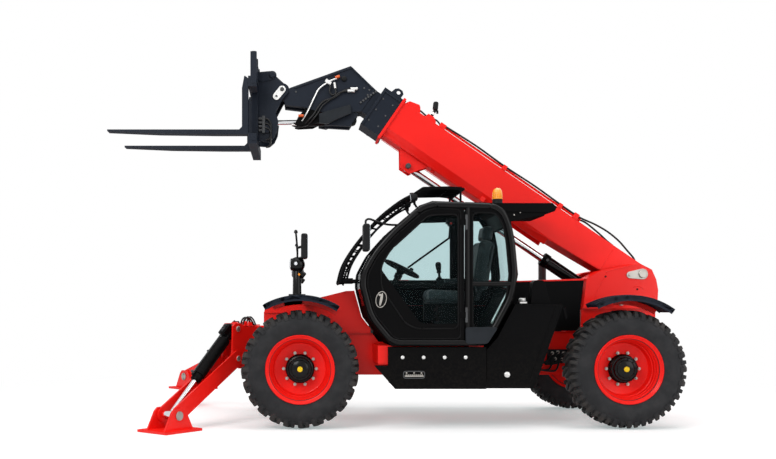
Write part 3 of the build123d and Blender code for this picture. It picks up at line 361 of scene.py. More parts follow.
# %% Metals
def bare_metal(name, base, dark, rough, spread, streaks=(1, 1, 1), metal=1.0):
    finish = Finish(name)
    marks = finish.noise(60.0, 4.0, 0.65, finish.where(scale=streaks))
    stain = finish.noise(7.0, 3.0, 0.5).step(0.35, 0.7)
    return finish.surface(Base_Color=finish.mix(base, dark, stain * 0.6 * marks), Metallic=metal,
                          Roughness=marks * spread + rough + stain * 0.06,
                          Normal=finish.bump(marks, 0.08, 0.0006))


chrome = bare_metal("chrome_rod", colour(222, 224, 226), colour(150, 152, 156), 0.06, 0.12, (6, 6, 6))
zinc = bare_metal("zinc_fastener", colour(176, 172, 166), colour(112, 104, 96), 0.32, 0.25)
bright_plate = bare_metal("bright_plate", colour(226, 226, 224), colour(170, 170, 168), 0.28, 0.2, metal=0.7)
cast_iron = bare_metal("cast_iron", colour(78, 80, 82), colour(52, 50, 48), 0.5, 0.3, metal=0.4)
brass = bare_metal("orange_fitting", colour(214, 96, 40), colour(150, 60, 30), 0.4, 0.2, metal=0.3)
print("metals made")

# %% [markdown]
# Tyre rubber is grey rather than black, and dust stays between the lugs while the
# sidewall has been wiped clean. The distance from the wheel's centre tells tread from
# sidewall, so each axle has its own rubber, with the pattern centred by a Mapping node.

# %% Rubber
def tyre_rubber(name, centre_x):
    finish = Finish(name)
    place = finish.node("ShaderNodeSeparateXYZ", {}, {0: finish.where(move=(-centre_x, 0, -axle_z))})
    reach = (place["X"] * place["X"] + place["Z"] * place["Z"]) ** 0.5
    tread = reach.step(0.50, 0.575)
    blotch = finish.noise(9.0, 3.0, 0.5).step(0.3, 0.8)
    fine = finish.noise(150.0, 3.0, 0.6)
    dusty = tread * blotch * 0.55 + blotch * 0.04
    rubber = finish.mix(colour(34, 35, 37), colour(46, 47, 49), blotch)
    rubber = finish.mix(rubber, colour(104, 95, 86), dusty * 0.5)
    rings = (reach * 330.0).maths("SINE", reach * 330.0) * reach.step(0.38, 0.40) * reach.step(0.50, 0.48)
    return finish.surface(Base_Color=rubber, Roughness=fine * 0.2 + 0.55 + dusty * 0.2,
                          Normal=finish.bump(fine * 0.5 + rings * 0.12, 0.35, 0.002), Specular_IOR_Level=0.18)


tyre_front = tyre_rubber("tyre_rubber_front", front_x)
tyre_rear = tyre_rubber("tyre_rubber_rear", rear_x)


def plain_rubber(name, base, spot, rough, grain, shine=0.2):
    finish = Finish(name)
    fine = finish.noise(grain, 3.0, 0.6)
    wide = finish.noise(5.0, 3.0, 0.5).step(0.35, 0.7)
    return finish.surface(Base_Color=finish.mix(base, spot, wide * 0.6), Roughness=fine * 0.2 + rough,
                          Normal=finish.bump(fine, 0.25, 0.0008), Specular_IOR_Level=shine)


hose_rubber = plain_rubber("hose_rubber", colour(12, 12, 13), colour(26, 26, 27), 0.34, 260.0, 0.3)
seal_rubber = plain_rubber("seal_rubber", colour(10, 10, 11), colour(20, 20, 21), 0.5, 340.0, 0.12)
dark_plastic = plain_rubber("dark_plastic", colour(17, 18, 19), colour(26, 27, 29), 0.45, 620.0, 0.15)
grey_plastic = plain_rubber("grey_plastic", colour(28, 32, 36), colour(38, 42, 47), 0.5, 620.0, 0.15)
yellow_cap = plain_rubber("yellow_cap", colour(240, 210, 40), colour(214, 178, 30), 0.4, 300.0)
print("rubber and plastics made")

# %% [markdown]
# The panes are green-tinted safety glass: a little colour, some gloss, and faint smears.
# A mix of a see-through and a glossy shader is quicker and steadier than true refraction
# in a thin sheet. A pane's inner faces hardly shine, which keeps the dark cab free of
# specks. Lenses are ribbed plastic that glows a little.

# %% Glass and lenses
def pane(name, tint, gloss_share, milk):
    finish = Finish(name)
    smear = finish.noise(3.0, 4.0, 0.6).step(0.4, 0.8)
    clear = finish.node("ShaderNodeBsdfTransparent", {}, {"Color": tint})
    shine = finish.node("ShaderNodeBsdfPrincipled", {},
                        {"Base Color": milk, "Roughness": smear * 0.08 + 0.03})
    facing = finish.node("ShaderNodeFresnel", {}, {"IOR": 1.5})["Fac"]
    inside = finish.node("ShaderNodeNewGeometry", {}, {})["Backfacing"]
    share = (facing * 0.6 + gloss_share + smear * 0.01).low(0.3) * (1.0 - inside * 0.9)
    both = finish.node("ShaderNodeMixShader", {}, {0: share, 1: clear["BSDF"], 2: shine["BSDF"]})
    finish.node("ShaderNodeOutputMaterial", {}, {"Surface": both["Shader"]})
    return finish.material


cab_pane = pane("cab_pane", (0.842, 0.912, 0.916, 1), 0.006, colour(70, 88, 92))


def lens(name, base, deep, glow, metal=0.0):
    finish = Finish(name)
    ribs = finish.node("ShaderNodeTexWave", {"bands_direction": "Z"}, {
        "Vector": finish.where(), "Scale": 28.0, "Distortion": 0.0})["Fac"]
    spot = finish.noise(24.0, 2.0, 0.5)
    return finish.surface(Base_Color=finish.mix(base, deep, ribs * 0.35 + spot * 0.3),
                          Roughness=spot * 0.1 + 0.1, Metallic=metal, Normal=finish.bump(ribs, 0.3, 0.002),
                          Emission_Color=finish.mix(base, deep, ribs * 0.5), Emission_Strength=glow,
                          Coat_Weight=0.8, Coat_Roughness=0.05)


amber = lens("amber_lens", colour(255, 168, 20), colour(226, 104, 6), 0.25)
red_lens = lens("red_lens", colour(200, 24, 20), colour(140, 10, 10), 0.08)
clear_lens = lens("clear_lens", colour(226, 230, 234), colour(160, 168, 176), 0.05, 0.3)
mirror_face = bare_metal("mirror_face", colour(214, 222, 228), colour(190, 198, 204), 0.02, 0.03)
print("glass and lenses made")

# %% [markdown]
# The seat is covered in a dark woven cloth with vinyl bolsters. Two wave patterns at
# an angle, multiplied, give the threads.

# %% Seat cloth
def woven(name, base, thread):
    finish = Finish(name)
    warp, weft = [finish.node("ShaderNodeTexWave", {"bands_direction": way}, {
        "Vector": finish.where(), "Scale": 190.0, "Distortion": 0.6, "Detail": 1.0})["Fac"]
        for way in ("Y", "DIAGONAL")]
    weave = warp * weft
    worn = finish.noise(12.0, 3.0, 0.55).step(0.4, 0.7)
    return finish.surface(Base_Color=finish.mix(base, thread, weave * 0.7 + worn * 0.2),
                          Roughness=weave * 0.15 + 0.75, Normal=finish.bump(weave, 0.4, 0.0012),
                          Sheen_Weight=0.3, Sheen_Roughness=0.5)


seat_cloth = woven("seat_cloth", colour(26, 33, 35), colour(48, 58, 60))
seat_vinyl = plain_rubber("seat_vinyl", colour(20, 24, 26), colour(30, 34, 36), 0.42, 500.0)
print("seat cloth made")

# %% [markdown]
# Each node of the frame takes the finish of its own surface. The mesh itself isn't
# touched: only what its material slots hold changes.

# %% Finishes on the frame's nodes
finish_of_node = {
    "axle_front": axle_black, "axle_rear": axle_black, "beacon": amber, "boom_head": blue_black,
    "boom_inner": blue_black, "boom_outer": red, "cab_door": black, "cab_frame": black,
    "cab_glass": cab_pane, "carriage": blue_black, "chassis_frame": red, "coupler": blue_black,
    "door_glass": cab_pane, "engine_block": cast_iron, "engine_hood": red, "engine_pod": black,
    "fenders": blue_black, "forks": blue_black, "fuel_tank": black, "lamps_mirrors": black,
    "lift_barrel": black_gloss, "lift_rod": chrome, "rear_tower": red, "roof_guard": black,
    "seat": seat_cloth, "side_panel": black, "steering_column": dark_plastic,
    "tilt_barrel": black_gloss, "tilt_rod": chrome, "frame_nose": red, "frame_wings": red, "tow_jaw": red,
    "boom_collar": blue_black,
}
for side in sides:
    for axle, rubber in (("front", tyre_front), ("rear", tyre_rear)):
        for kind, paint in (("knuckle", axle_black), ("rim", rim_red), ("tyre", rubber)):
            finish_of_node["%s_%s_%s" % (kind, axle, side)] = paint
    for kind, paint in (("leg", red), ("mount", red), ("pad", red), ("barrel", black_gloss), ("rod", chrome)):
        finish_of_node["stabilizer_%s_%s" % (kind, side)] = paint

for name, node in frame["nodes"].items():
    for spot in node.material_slots:
        spot.material = finish_of_node[name]
print("nodes without a finish:", sorted(set(frame["nodes"]) - set(finish_of_node)))
# %% [markdown]
# ## Workshop
# Every fine piece is made like the real one: a plate is a flat outline given thickness,
# a hub or a fitting is turned about its axis, a block is a box. They share one class
# that gathers shapes in a mesh, and a live bevel breaks the edges as a grinder would.

# %% Shapes
class Work:
    """A piece in the making, in metres and in its final place."""

    def __init__(self):
        self.mesh = bmesh.new()

    def loft(self, rings, ring=False):
        """Joins loops of points one to the next. A ring joins the last to the first."""
        made = [[self.mesh.verts.new(point) for point in loop] for loop in rings]
        pairs = list(zip(made, made[1:]))
        if ring:
            pairs.append((made[-1], made[0]))
        for near, far in pairs:
            for i in range(len(near)):
                j = (i + 1) % len(near)
                self.mesh.faces.new((near[i], near[j], far[j], far[i]))
        if not ring:
            self.mesh.faces.new(made[0])
            self.mesh.faces.new(made[-1])
        return self

    def plate(self, corners, across):
        corners = [Vector(corner) for corner in corners]
        return self.loft([corners, [corner + Vector(across) for corner in corners]])

    def side_plate(self, points, y, thick):
        """A plate square to Y, its outline given along X and up."""
        return self.plate([(x, y, z) for x, z in points], (0, thick, 0))

    def front_plate(self, points, y, thick):
        """A plate square to Y, its outline given ahead of the front axle and up."""
        return self.side_plate([(front_x + x, z) for x, z in points], y, thick)

    def boom_plate(self, points, y, thick):
        """A plate square to Y, its outline given along and above the boom."""
        return self.plate([on_boom(along, above, y) for along, above in points], (0, thick, 0))

    def lathe(self, centre, axis, profile, steps=40, ring=False):
        """Turns pairs of (along, radius) about an axis."""
        axis = Vector(axis).normalized()
        right = axis.orthogonal().normalized()
        up = axis.cross(right)
        turns = [2 * math.pi * k / steps for k in range(steps)]
        return self.loft([[Vector(centre) + axis * along + (right * math.cos(t) + up * math.sin(t)) * radius
                           for t in turns] for along, radius in profile], ring)

    def bar(self, start, end, radius, steps=20):
        """A round bar from one point to another."""
        span = Vector(end) - Vector(start)
        return self.lathe(start, span, [(0, radius), (span.length, radius)], steps)

    def nut(self, centre, axis, radius, height, stud=0.0):
        """A six-sided head, with a stud through it where the stud has a length."""
        self.lathe(centre, axis, [(0, radius), (height, radius)], 6)
        if stud:
            self.lathe(centre, axis, [(0, radius * 0.5), (height + stud, radius * 0.5)], 12)
        return self

    def block(self, centre, size, turn=None):
        """A box about its centre, its edges softened when the work is done."""
        turn = (turn or Matrix.Identity(3)).to_3x3()
        half = Vector(size) / 2
        ends = [[Vector(centre) + turn @ Vector((x * half.x, y * half.y, z * half.z))
                 for x, y in ((-1, -1), (1, -1), (1, 1), (-1, 1))] for z in (-1, 1)]
        return self.loft(ends)

    def add(self, mesh):
        self.mesh.from_mesh(mesh)
        return self

    def done(self, name, material, body, soft=0.0015, stands_for=(), slot=None, segments=2):
        """Turns the work into an object that rides on a body."""
        bmesh.ops.recalc_face_normals(self.mesh, faces=self.mesh.faces)
        mesh = bpy.data.meshes.new(name)
        self.mesh.to_mesh(mesh)
        self.mesh.free()
        mesh.materials.clear()
        mesh.materials.append(material)
        mesh.shade_smooth()
        mesh.set_sharp_from_angle(angle=math.radians(32))
        piece = bpy.data.objects.new(name, mesh)
        bpy.context.scene.collection.objects.link(piece)
        if soft:
            bevel = piece.modifiers.new("soft_edges", "BEVEL")
            bevel.width, bevel.segments, bevel.limit_method = soft, segments, "ANGLE"
            bevel.angle_limit, bevel.harden_normals = math.radians(32), True
            bevel.use_clamp_overlap = True
        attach(piece, body)
        if stands_for:
            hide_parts(*stands_for)
        return piece


print("shapes ready")

# %% [markdown]
# What repeats or follows a path comes from three node trees: a ring of like pieces, a
# straight row of them, and a hose along a line. Each has named inputs and ends in plain
# geometry, and the result is taken out as one mesh, so nothing is left to evaluate.

# %% Repeats and hoses
class Plan(Finish):
    """A Geometry Nodes tree whose inputs are set by name."""

    def __init__(self, name, **inputs):
        self.tree = bpy.data.node_groups.new(name, "GeometryNodeTree")
        sockets = self.tree.interface
        sockets.new_socket("Geometry", in_out="INPUT", socket_type="NodeSocketGeometry")
        for key, kind in inputs.items():
            sockets.new_socket(key, in_out="INPUT", socket_type="NodeSocket" + kind)
        sockets.new_socket("Geometry", in_out="OUTPUT", socket_type="NodeSocketGeometry")
        self.given = Made(self, self.tree.nodes.new("NodeGroupInput"))

    def repeat(self, points, turned):
        """Puts the given geometry on points, turned by a vector, and makes it real."""
        placed = self.node("GeometryNodeInstanceOnPoints", {}, {
            "Points": points, "Instance": self.given["Geometry"], "Rotation": turned})["Instances"]
        self.end(self.node("GeometryNodeRealizeInstances", {}, {"Geometry": placed})["Geometry"])

    def end(self, geometry):
        painted = self.node("GeometryNodeSetMaterial", {}, {
            "Geometry": geometry, "Material": self.given["Material"]})["Geometry"]
        self.tree.links.new(painted.socket, self.tree.nodes.new("NodeGroupOutput").inputs[0])

    def run(self, mesh, place=Matrix.Identity(4), **values):
        """Runs the tree on a mesh and gives the result as a plain mesh, moved to its place."""
        holder = bpy.data.objects.new("holder", mesh)
        bpy.context.scene.collection.objects.link(holder)
        modifier = holder.modifiers.new("plan", "NODES")
        modifier.node_group = self.tree
        for item in self.tree.interface.items_tree:
            if item.in_out == "INPUT" and item.name in values:
                modifier[item.identifier] = values[item.name]
        graph = bpy.context.evaluated_depsgraph_get()
        result = bpy.data.meshes.new_from_object(holder.evaluated_get(graph))
        bpy.data.objects.remove(holder)
        result.transform(place)
        return result


ring_plan = Plan("ring_of_pieces", Count="Int", Radius="Float", Material="Material")
circle = ring_plan.node("GeometryNodeMeshCircle", {}, {
    "Vertices": ring_plan.given["Count"], "Radius": ring_plan.given["Radius"]})["Mesh"]
turn = ring_plan.node("GeometryNodeInputIndex")["Index"] * (2 * math.pi) / ring_plan.given["Count"]
ring_plan.repeat(circle, ring_plan.node("ShaderNodeCombineXYZ", {}, {"Z": turn})["Vector"])

row_plan = Plan("row_of_pieces", Count="Int", Step="Vector", Material="Material")
row = row_plan.node("GeometryNodeMeshLine", {}, {
    "Count": row_plan.given["Count"], "Offset": row_plan.given["Step"]})["Mesh"]
row_plan.repeat(row, row_plan.node("ShaderNodeCombineXYZ")["Vector"])

hose_plan = Plan("hose_on_a_line", Radius="Float", Turns="Int", Material="Material")
line = hose_plan.node("GeometryNodeMeshToCurve", {}, {"Mesh": hose_plan.given["Geometry"]})["Curve"]
line = hose_plan.node("GeometryNodeCurveSplineType", {"spline_type": "CATMULL_ROM"}, {"Curve": line})["Curve"]
line = hose_plan.node("GeometryNodeSetSplineResolution", {}, {
    "Geometry": line, "Resolution": hose_plan.given["Turns"]})["Geometry"]
rim = hose_plan.node("GeometryNodeCurvePrimitiveCircle", {}, {
    "Resolution": 12, "Radius": hose_plan.given["Radius"]})["Curve"]
tube = hose_plan.node("GeometryNodeCurveToMesh", {}, {
    "Curve": line, "Profile Curve": rim, "Fill Caps": True})["Mesh"]
hose_plan.end(hose_plan.node("GeometryNodeSetShadeSmooth", {}, {"Geometry": tube})["Geometry"])


def polyline(points):
    """A mesh of edges from point to point."""
    mesh = bpy.data.meshes.new("line")
    mesh.from_pydata([Vector(p) for p in points], [(i, i + 1) for i in range(len(points) - 1)], [])
    return mesh


def hose(points, radius, material, turns=8):
    """A hose or bent tube through the points, as a mesh."""
    return hose_plan.run(polyline(points), Radius=radius, Turns=turns, Material=material)


def seed_of(work):
    mesh = bpy.data.meshes.new("seed")
    work.mesh.to_mesh(mesh)
    work.mesh.free()
    return mesh


def ring_of(work, count, place, material):
    """Copies of a small work about a wheel's axis, as a mesh."""
    return ring_plan.run(seed_of(work), place, Count=count, Radius=0.0, Material=material)


def row_of(work, count, step, material):
    """Copies of a small work in a straight row, as a mesh."""
    return row_plan.run(seed_of(work), Count=count, Step=step, Material=material)


print("node trees", ring_plan.tree.name, row_plan.tree.name, hose_plan.tree.name)

# %% [markdown]
# ## Wheels
# The tyre is an all-ground machine tyre: long slanted lugs from each shoulder past the
# middle, with a short block between two of them at the shoulder. One long lug and one
# short block are modelled and a ring of 24 of each is laid on either half, the second
# half a half-pitch on, which is how the mould is cut. The casing is turned in one piece.

# %% Tyres
lugs_around = 24


def lug(stations):
    """A bar of rubber. Each station is (across the tyre, slant, half thickness, foot, top)."""
    work = Work()
    loops = []
    for across, slant, half, foot, top in stations:
        corners = []
        for way, radius, spread in ((-1, foot, 1.35), (-1, top, 1.0), (1, top, 1.0), (1, foot, 1.35)):
            angle = slant + way * half * spread / radius
            corners.append((radius * math.cos(angle), radius * math.sin(angle), across))
        loops.append(corners)
    return work.loft(loops)


long_lug = [(-0.028, 0.145, 0.013, 0.555, 0.599), (0.045, 0.085, 0.016, 0.555, 0.600),
            (0.105, 0.030, 0.019, 0.552, 0.597), (0.150, 0.006, 0.021, 0.540, 0.588),
            (0.178, 0.0, 0.022, 0.520, 0.568), (0.194, 0.0, 0.019, 0.505, 0.530)]
short_lug = [(0.118, 0.134, 0.015, 0.552, 0.594), (0.150, 0.131, 0.018, 0.542, 0.587),
             (0.176, 0.131, 0.018, 0.528, 0.566), (0.188, 0.131, 0.015, 0.520, 0.543)]
casing_half = [(0.158, 0.308), (0.170, 0.352), (0.190, 0.395), (0.199, 0.440), (0.197, 0.480), (0.190, 0.505),
               (0.186, 0.515), (0.176, 0.538), (0.140, 0.560)]
casing = [(-along, radius) for along, radius in casing_half] + [(0.0, 0.564)] + casing_half[::-1]


def wheel_place(axle, side):
    """Turns a wheel made about Z, outward up, into its place."""
    outward = math.radians(-90 if side == "left" else 90)
    centre = middle("tyre_%s_%s" % (axle, side))
    return Matrix.Translation(centre) @ Matrix.Rotation(outward, 4, "X")


def turned(place, profile, steps, ring=False):
    """A part of a wheel turned on the lathe and moved into its place."""
    work = Work().lathe((0, 0, 0), (0, 0, 1), profile, steps, ring)
    work.mesh.transform(place)
    return work


flip = Matrix.Rotation(math.pi, 4, "X")
half_pitch = Matrix.Rotation(math.pi / lugs_around, 4, "Z")
for axle, rubber in (("front", tyre_front), ("rear", tyre_rear)):
    for side in sides:
        place = wheel_place(axle, side)
        tyre = turned(place, casing, 96, ring=True)
        for form in (long_lug, short_lug):
            tyre.add(ring_of(lug(form), lugs_around, place, rubber))
            tyre.add(ring_of(lug(form), lugs_around, place @ half_pitch @ flip, rubber))
        made = tyre.done("tread_%s_%s" % (axle, side), rubber, "wheel_%s_%s" % (axle, side), 0.004,
                         ["tyre_%s_%s" % (axle, side)], "tyre")
print("tyre faces", len(made.data.polygons))

# %% [markdown]
# The rim is one steel pressing: a flange that holds the bead, three steps down the well,
# and a flat disc. Ten nuts sit outside the ribbed black hub of the wheel's gearbox, which
# has its own ring of small bolts and a yellow cap over the centre.

# %% Rims and hubs
rim_turned = [(-0.060, 0.120), (-0.060, 0.262), (-0.080, 0.300), (-0.150, 0.302), (-0.170, 0.330),
              (-0.180, 0.348), (-0.168, 0.350), (-0.158, 0.332), (-0.140, 0.3085), (0.140, 0.3085),
              (0.158, 0.334), (0.166, 0.350), (0.178, 0.350), (0.182, 0.345), (0.180, 0.340), (0.172, 0.334),
              (0.160, 0.3125), (0.135, 0.303), (0.128, 0.296), (0.096, 0.294), (0.088, 0.287), (0.046, 0.285),
              (0.038, 0.276), (-0.010, 0.273), (-0.030, 0.262), (-0.036, 0.250), (-0.036, 0.120)]
hub_turned = [(-0.055, 0.06), (-0.055, 0.148), (-0.016, 0.148), (-0.012, 0.143), (0.010, 0.143),
              (0.014, 0.137), (0.040, 0.134), (0.046, 0.120), (0.052, 0.116), (0.070, 0.112), (0.074, 0.092),
              (0.082, 0.088), (0.094, 0.066), (0.098, 0.040)]
cap_turned = [(0.094, 0.028), (0.104, 0.028), (0.110, 0.025), (0.111, 0.009), (0.107, 0.006)]
for axle in ("front", "rear"):
    for side in sides:
        place = wheel_place(axle, side)
        body = "wheel_%s_%s" % (axle, side)
        turned(place, rim_turned, 72, ring=True).done(
            "rim_turned_%s_%s" % (axle, side), rim_red, body, 0.0012, ["rim_%s_%s" % (axle, side)],
            "rim_paint")
        hub = turned(place, hub_turned, 48)
        rib = Work().block((0.120, 0, 0.028), (0.036, 0.012, 0.030))
        hub.add(ring_of(rib, 15, place, black))
        wheel_nut = Work().nut((0.1675, 0, -0.036), (0, 0, 1), 0.0175, 0.020, 0.014)
        bolts = Work().add(ring_of(wheel_nut, 10, place, zinc))
        hub.add(ring_of(Work().nut((0.102, 0, 0.068), (0, 0, 1), 0.009, 0.012), 10,
                        place @ Matrix.Rotation(0.13, 4, "Z"), black))
        hub.done("hub_%s_%s" % (axle, side), black_gloss, body, 0.0012)
        valve = Work().bar((0.262, 0, -0.030), (0.272, 0, 0.030), 0.005, 10)
        bolts.add(ring_of(valve, 1, place, zinc))
        bolts.done("nuts_%s_%s" % (axle, side), zinc, body, 0.0008)
        cap = turned(place, cap_turned, 24).done("cap_%s_%s" % (axle, side), yellow_cap, body, 0.0008)
print("hub caps at", [round(value, 3) for value in cap.data.vertices[0].co])

# %% [markdown]
# ## Boom
# The boom's outer section carries the fittings that feed the extending part: a red steel
# pipe clamped along the top edge, a black hose beside it, an angle sensor on a stalk, a
# stop bracket behind the end flange. They are welded or bolted to the near top corner,
# so they ride on the outer section. The pipe and hoses follow a line, the rest is plate.

# %% Boom fittings
boom_side = 0.170
boom_top = 0.148
pipe_above = boom_top + 0.030
pipe_y = 0.120

red_work = Work()
for y in (0.095, -0.115):
    red_work.boom_plate([(3.158, 0.146), (3.120, 0.205), (3.010, 0.232), (2.985, 0.214), (2.945, 0.146)], y,
                        0.020)
red_work.boom_plate([(3.020, 0.200), (3.005, 0.231), (2.990, 0.214), (3.000, 0.195)], -0.115, 0.230)
red_work.boom_plate([(2.888, 0.146), (2.872, 0.196), (2.800, 0.200), (2.750, 0.166), (2.748, 0.146)], 0.070,
                    0.090)
clamps = ((2.664, 0.075, 0.050), (1.840, 0.048, 0.058), (1.094, 0.044, 0.058), (0.888, 0.060, 0.066))
for along, long, tall in clamps:
    centre = on_boom(along, boom_top + tall / 2 - 0.002, pipe_y + 0.012)
    red_work.block(centre, (long, 0.088, tall), boom_turn)
    red_work.nut(on_boom(along, boom_top + tall - 0.002, pipe_y - 0.020), boom_up, 0.009, 0.008)
red_work.boom_plate([(1.870, -0.278), (1.870, -0.225), (1.820, -0.225), (1.820, -0.278)], boom_side - 0.002,
                    0.016)
red_work.bar(on_boom(2.470, -0.300, 0.05), on_boom(2.470, -0.270, 0.05), 0.022)
red_work.done("boom_brackets", red, "boom", 0.003, slot="red_paint")

pipe_line = [on_boom(along, pipe_above, pipe_y) for along in (2.664, 2.2, 1.84, 1.4, 1.094, 0.888)]
pipe = Work().add(hose(pipe_line, 0.0135, red))
pipe.add(hose([on_boom(0.888, pipe_above, pipe_y), on_boom(0.850, pipe_above, pipe_y),
               on_boom(0.815, pipe_above - 0.002, pipe_y)], 0.017, red))
pipe.done("boom_pipe", red, "boom", 0)

hoses = Work()
hoses.add(hose([on_boom(along, boom_top + above, pipe_y + 0.034) for along, above in (
    (2.664, 0.036), (2.25, 0.052), (1.84, 0.044), (1.45, 0.052), (1.094, 0.044), (0.888, 0.044),
    (0.80, 0.052), (0.66, 0.078), (0.50, 0.090), (0.34, 0.076), (0.20, 0.040), (0.10, 0.012),
    (0.055, -0.020))],
    0.0105, hose_rubber))
hoses.add(hose([on_boom(along, boom_top + above, pipe_y - 0.002) for along, above in (
    (0.83, 0.030), (0.74, 0.044), (0.57, 0.030), (0.45, 0.012), (0.36, 0.004))], 0.0105, hose_rubber))
hoses.add(hose([on_boom(along, boom_top + above, pipe_y - inward) for along, above, inward in (
    (2.70, 0.030, 0), (2.76, 0.050, 0.02), (2.86, 0.035, 0.05), (2.99, 0.05, 0.07), (3.14, 0.040, 0.08))],
    0.010, hose_rubber))
hoses.done("boom_hoses", hose_rubber, "boom", 0)

stalk_y = 0.112
stalk = Work().bar(on_boom(2.828, 0.190, stalk_y), on_boom(2.832, 0.285, stalk_y), 0.017)
eye = on_boom(2.832, 0.280, stalk_y)
stalk.lathe(eye, on_boom(2.88, 0.368, stalk_y) - eye,
            [(0.0, 0.020), (0.010, 0.030), (0.075, 0.030), (0.090, 0.024), (0.096, 0.012)], 24)
stalk.bar(on_boom(2.812, 0.292, stalk_y), on_boom(2.790, 0.262, stalk_y), 0.012)
stalk.done("boom_sensor", dark_plastic, "boom", 0.001)
band = Work().bar(on_boom(2.829, 0.222, stalk_y), on_boom(2.830, 0.248, stalk_y), 0.0185)
band.done("boom_sensor_band", bright_plate, "boom", 0.0005)
print("boom fittings on", round(boom_side, 3))

# %% [markdown]
# The flange and the collar are bolted together, and the collar's wear-pad screws show as
# two rows of bolt heads on each side. The lugs under the boom hold the lift cylinder's
# upper pin, whose turned ends stand proud on both sides.

# %% Collar, bolts and lug pins
heads = Work()
for side in sides.values():
    for above in (-0.24, -0.10, 0.04):
        for along in (3.250, 3.375):
            heads.nut(on_boom(along, above, side * 0.1845), (0, side, 0), 0.0095, 0.008)
for across in (-0.12, -0.04, 0.04, 0.12):
    for above in (0.172, -0.332):
        heads.nut(on_boom(3.1600, above, across), -boom_way, 0.010, 0.008)
heads.done("collar_bolts", cast_iron, "boom", 0.0006)

ribs = Work()
for side in sides.values():
    ribs.boom_plate([(3.200, 0.112), (3.422, 0.112), (3.422, 0.126), (3.200, 0.126)], side * 0.192 - 0.0075,
                    0.015)
    ribs.boom_plate([(3.398, -0.318), (3.424, -0.318), (3.424, 0.156), (3.398, 0.156)], side * 0.191 - 0.0065,
                    0.013)
    ribs.block(on_boom(3.31, -0.31, side * 0.150), (0.03, 0.05, 0.03))
ribs.done("collar_ribs", blue_black, "boom", 0.003, slot="dark_paint")

lug_along, lug_above = 2.730, -0.400
lug_pins = Work()
for side in sides.values():
    lug_pins.lathe(on_boom(lug_along, lug_above, side * 0.100), (0, side, 0),
                   [(0, 0.030), (0.030, 0.030), (0.036, 0.025)], 28)
lug_pins.done("lug_pin_ends", cast_iron, "boom", 0.001)
print("collar bolts placed")

# %% [markdown]
# ## Boom head
# The head is a folded dark box with a stiffening lip along its top and rear edges. Pipes
# and hoses run down its near side: a bright bent tube from an orange-capped fitting, two
# black hoses from bright quick couplers, and a small guard box below them. Two inner
# webs close the throat behind the coupler.

# %% Head plates
head_side = 0.140
lip = Work()
for side in sides.values():
    inner = face_start(side, head_side, 0.014)
    lip.boom_plate([(3.516, 0.086), (3.866, 0.146), (4.262, -0.400), (4.252, -0.414), (3.860, 0.128),
                    (3.520, 0.070)],
                   inner, 0.014)
    lip.boom_plate([(3.500, -0.036), (3.516, 0.084), (3.530, 0.070), (3.516, -0.030)], inner, 0.014)
lip.done("head_lips", blue_black, "boom_inner", 0.002, slot="dark_paint")

guard = Work()
guard_box = [(3.816, -0.424), (3.640, -0.214), (3.576, -0.286), (3.732, -0.534), (3.812, -0.572),
             (3.868, -0.492)]
guard.boom_plate(guard_box, head_side + 0.003, 0.042)
guard.boom_plate(guard_box, -head_side - 0.045, 0.042)
guard.done("head_guards", grey_plastic, "boom_inner", 0.004)

fittings = Work()
tube = [(3.925, -0.060, 0.174), (3.950, -0.090, 0.174), (3.985, -0.150, 0.174), (4.024, -0.262, 0.172),
        (4.016, -0.360, 0.170), (3.998, -0.470, 0.166), (3.985, -0.570, 0.158), (3.985, -0.650, 0.124),
        (4.000, -0.700, 0.112), (4.030, -0.735, 0.110), (4.060, -0.752, 0.110)]
fittings.add(hose([on_boom(*spot) for spot in tube], 0.0088, bright_plate))
fittings.block(on_boom(3.982, -0.145, head_side + 0.024), (0.070, 0.048, 0.034), boom_turn)
fittings.bar(on_boom(3.925, -0.110, head_side + 0.028), on_boom(3.880, -0.158, head_side + 0.028), 0.014)
for along, above in ((3.686, -0.030), (3.700, -0.068)):
    socket = on_boom(along, above, head_side + 0.024)
    fittings.bar(socket, on_boom(along + 0.052, above - 0.036, head_side + 0.024), 0.016)
    fittings.bar(on_boom(along - 0.012, above + 0.008, head_side + 0.024), socket, 0.019)
fittings.done("head_fittings", bright_plate, "boom_inner", 0.001)

caps = Work()
caps.bar(on_boom(3.945, -0.062, head_side + 0.034), on_boom(3.915, -0.022, head_side + 0.034), 0.016)
caps.bar(on_boom(4.000, -0.605, head_side + 0.032), on_boom(4.044, -0.640, head_side + 0.032), 0.015)
caps.done("orange_caps", brass, "boom_inner", 0.001)

dark_hoses = Work()
runs = [
    [(3.738, -0.066, 0.164), (3.790, -0.130, 0.164), (3.822, -0.225, 0.164), (3.862, -0.310, 0.164),
     (3.888, -0.400, 0.164), (3.884, -0.500, 0.160), (3.890, -0.570, 0.156), (3.905, -0.640, 0.120),
     (3.940, -0.690, 0.098), (3.990, -0.735, 0.096), (4.050, -0.752, 0.096)],
    [(3.752, -0.104, 0.168), (3.812, -0.170, 0.168), (3.850, -0.270, 0.168), (3.905, -0.350, 0.168),
     (3.918, -0.440, 0.168), (3.915, -0.530, 0.162), (3.925, -0.600, 0.156), (3.940, -0.660, 0.118),
     (3.970, -0.695, 0.092), (4.010, -0.715, 0.090), (4.050, -0.725, 0.090)],
    [(3.880, -0.158, 0.170), (3.845, -0.205, 0.170), (3.872, -0.240, 0.170), (3.918, -0.215, 0.170),
     (3.940, -0.160, 0.170)],
]
for run in runs:
    dark_hoses.add(hose([on_boom(*spot) for spot in run], 0.0105, hose_rubber))
dark_hoses.done("head_hoses", hose_rubber, "boom_inner", 0)

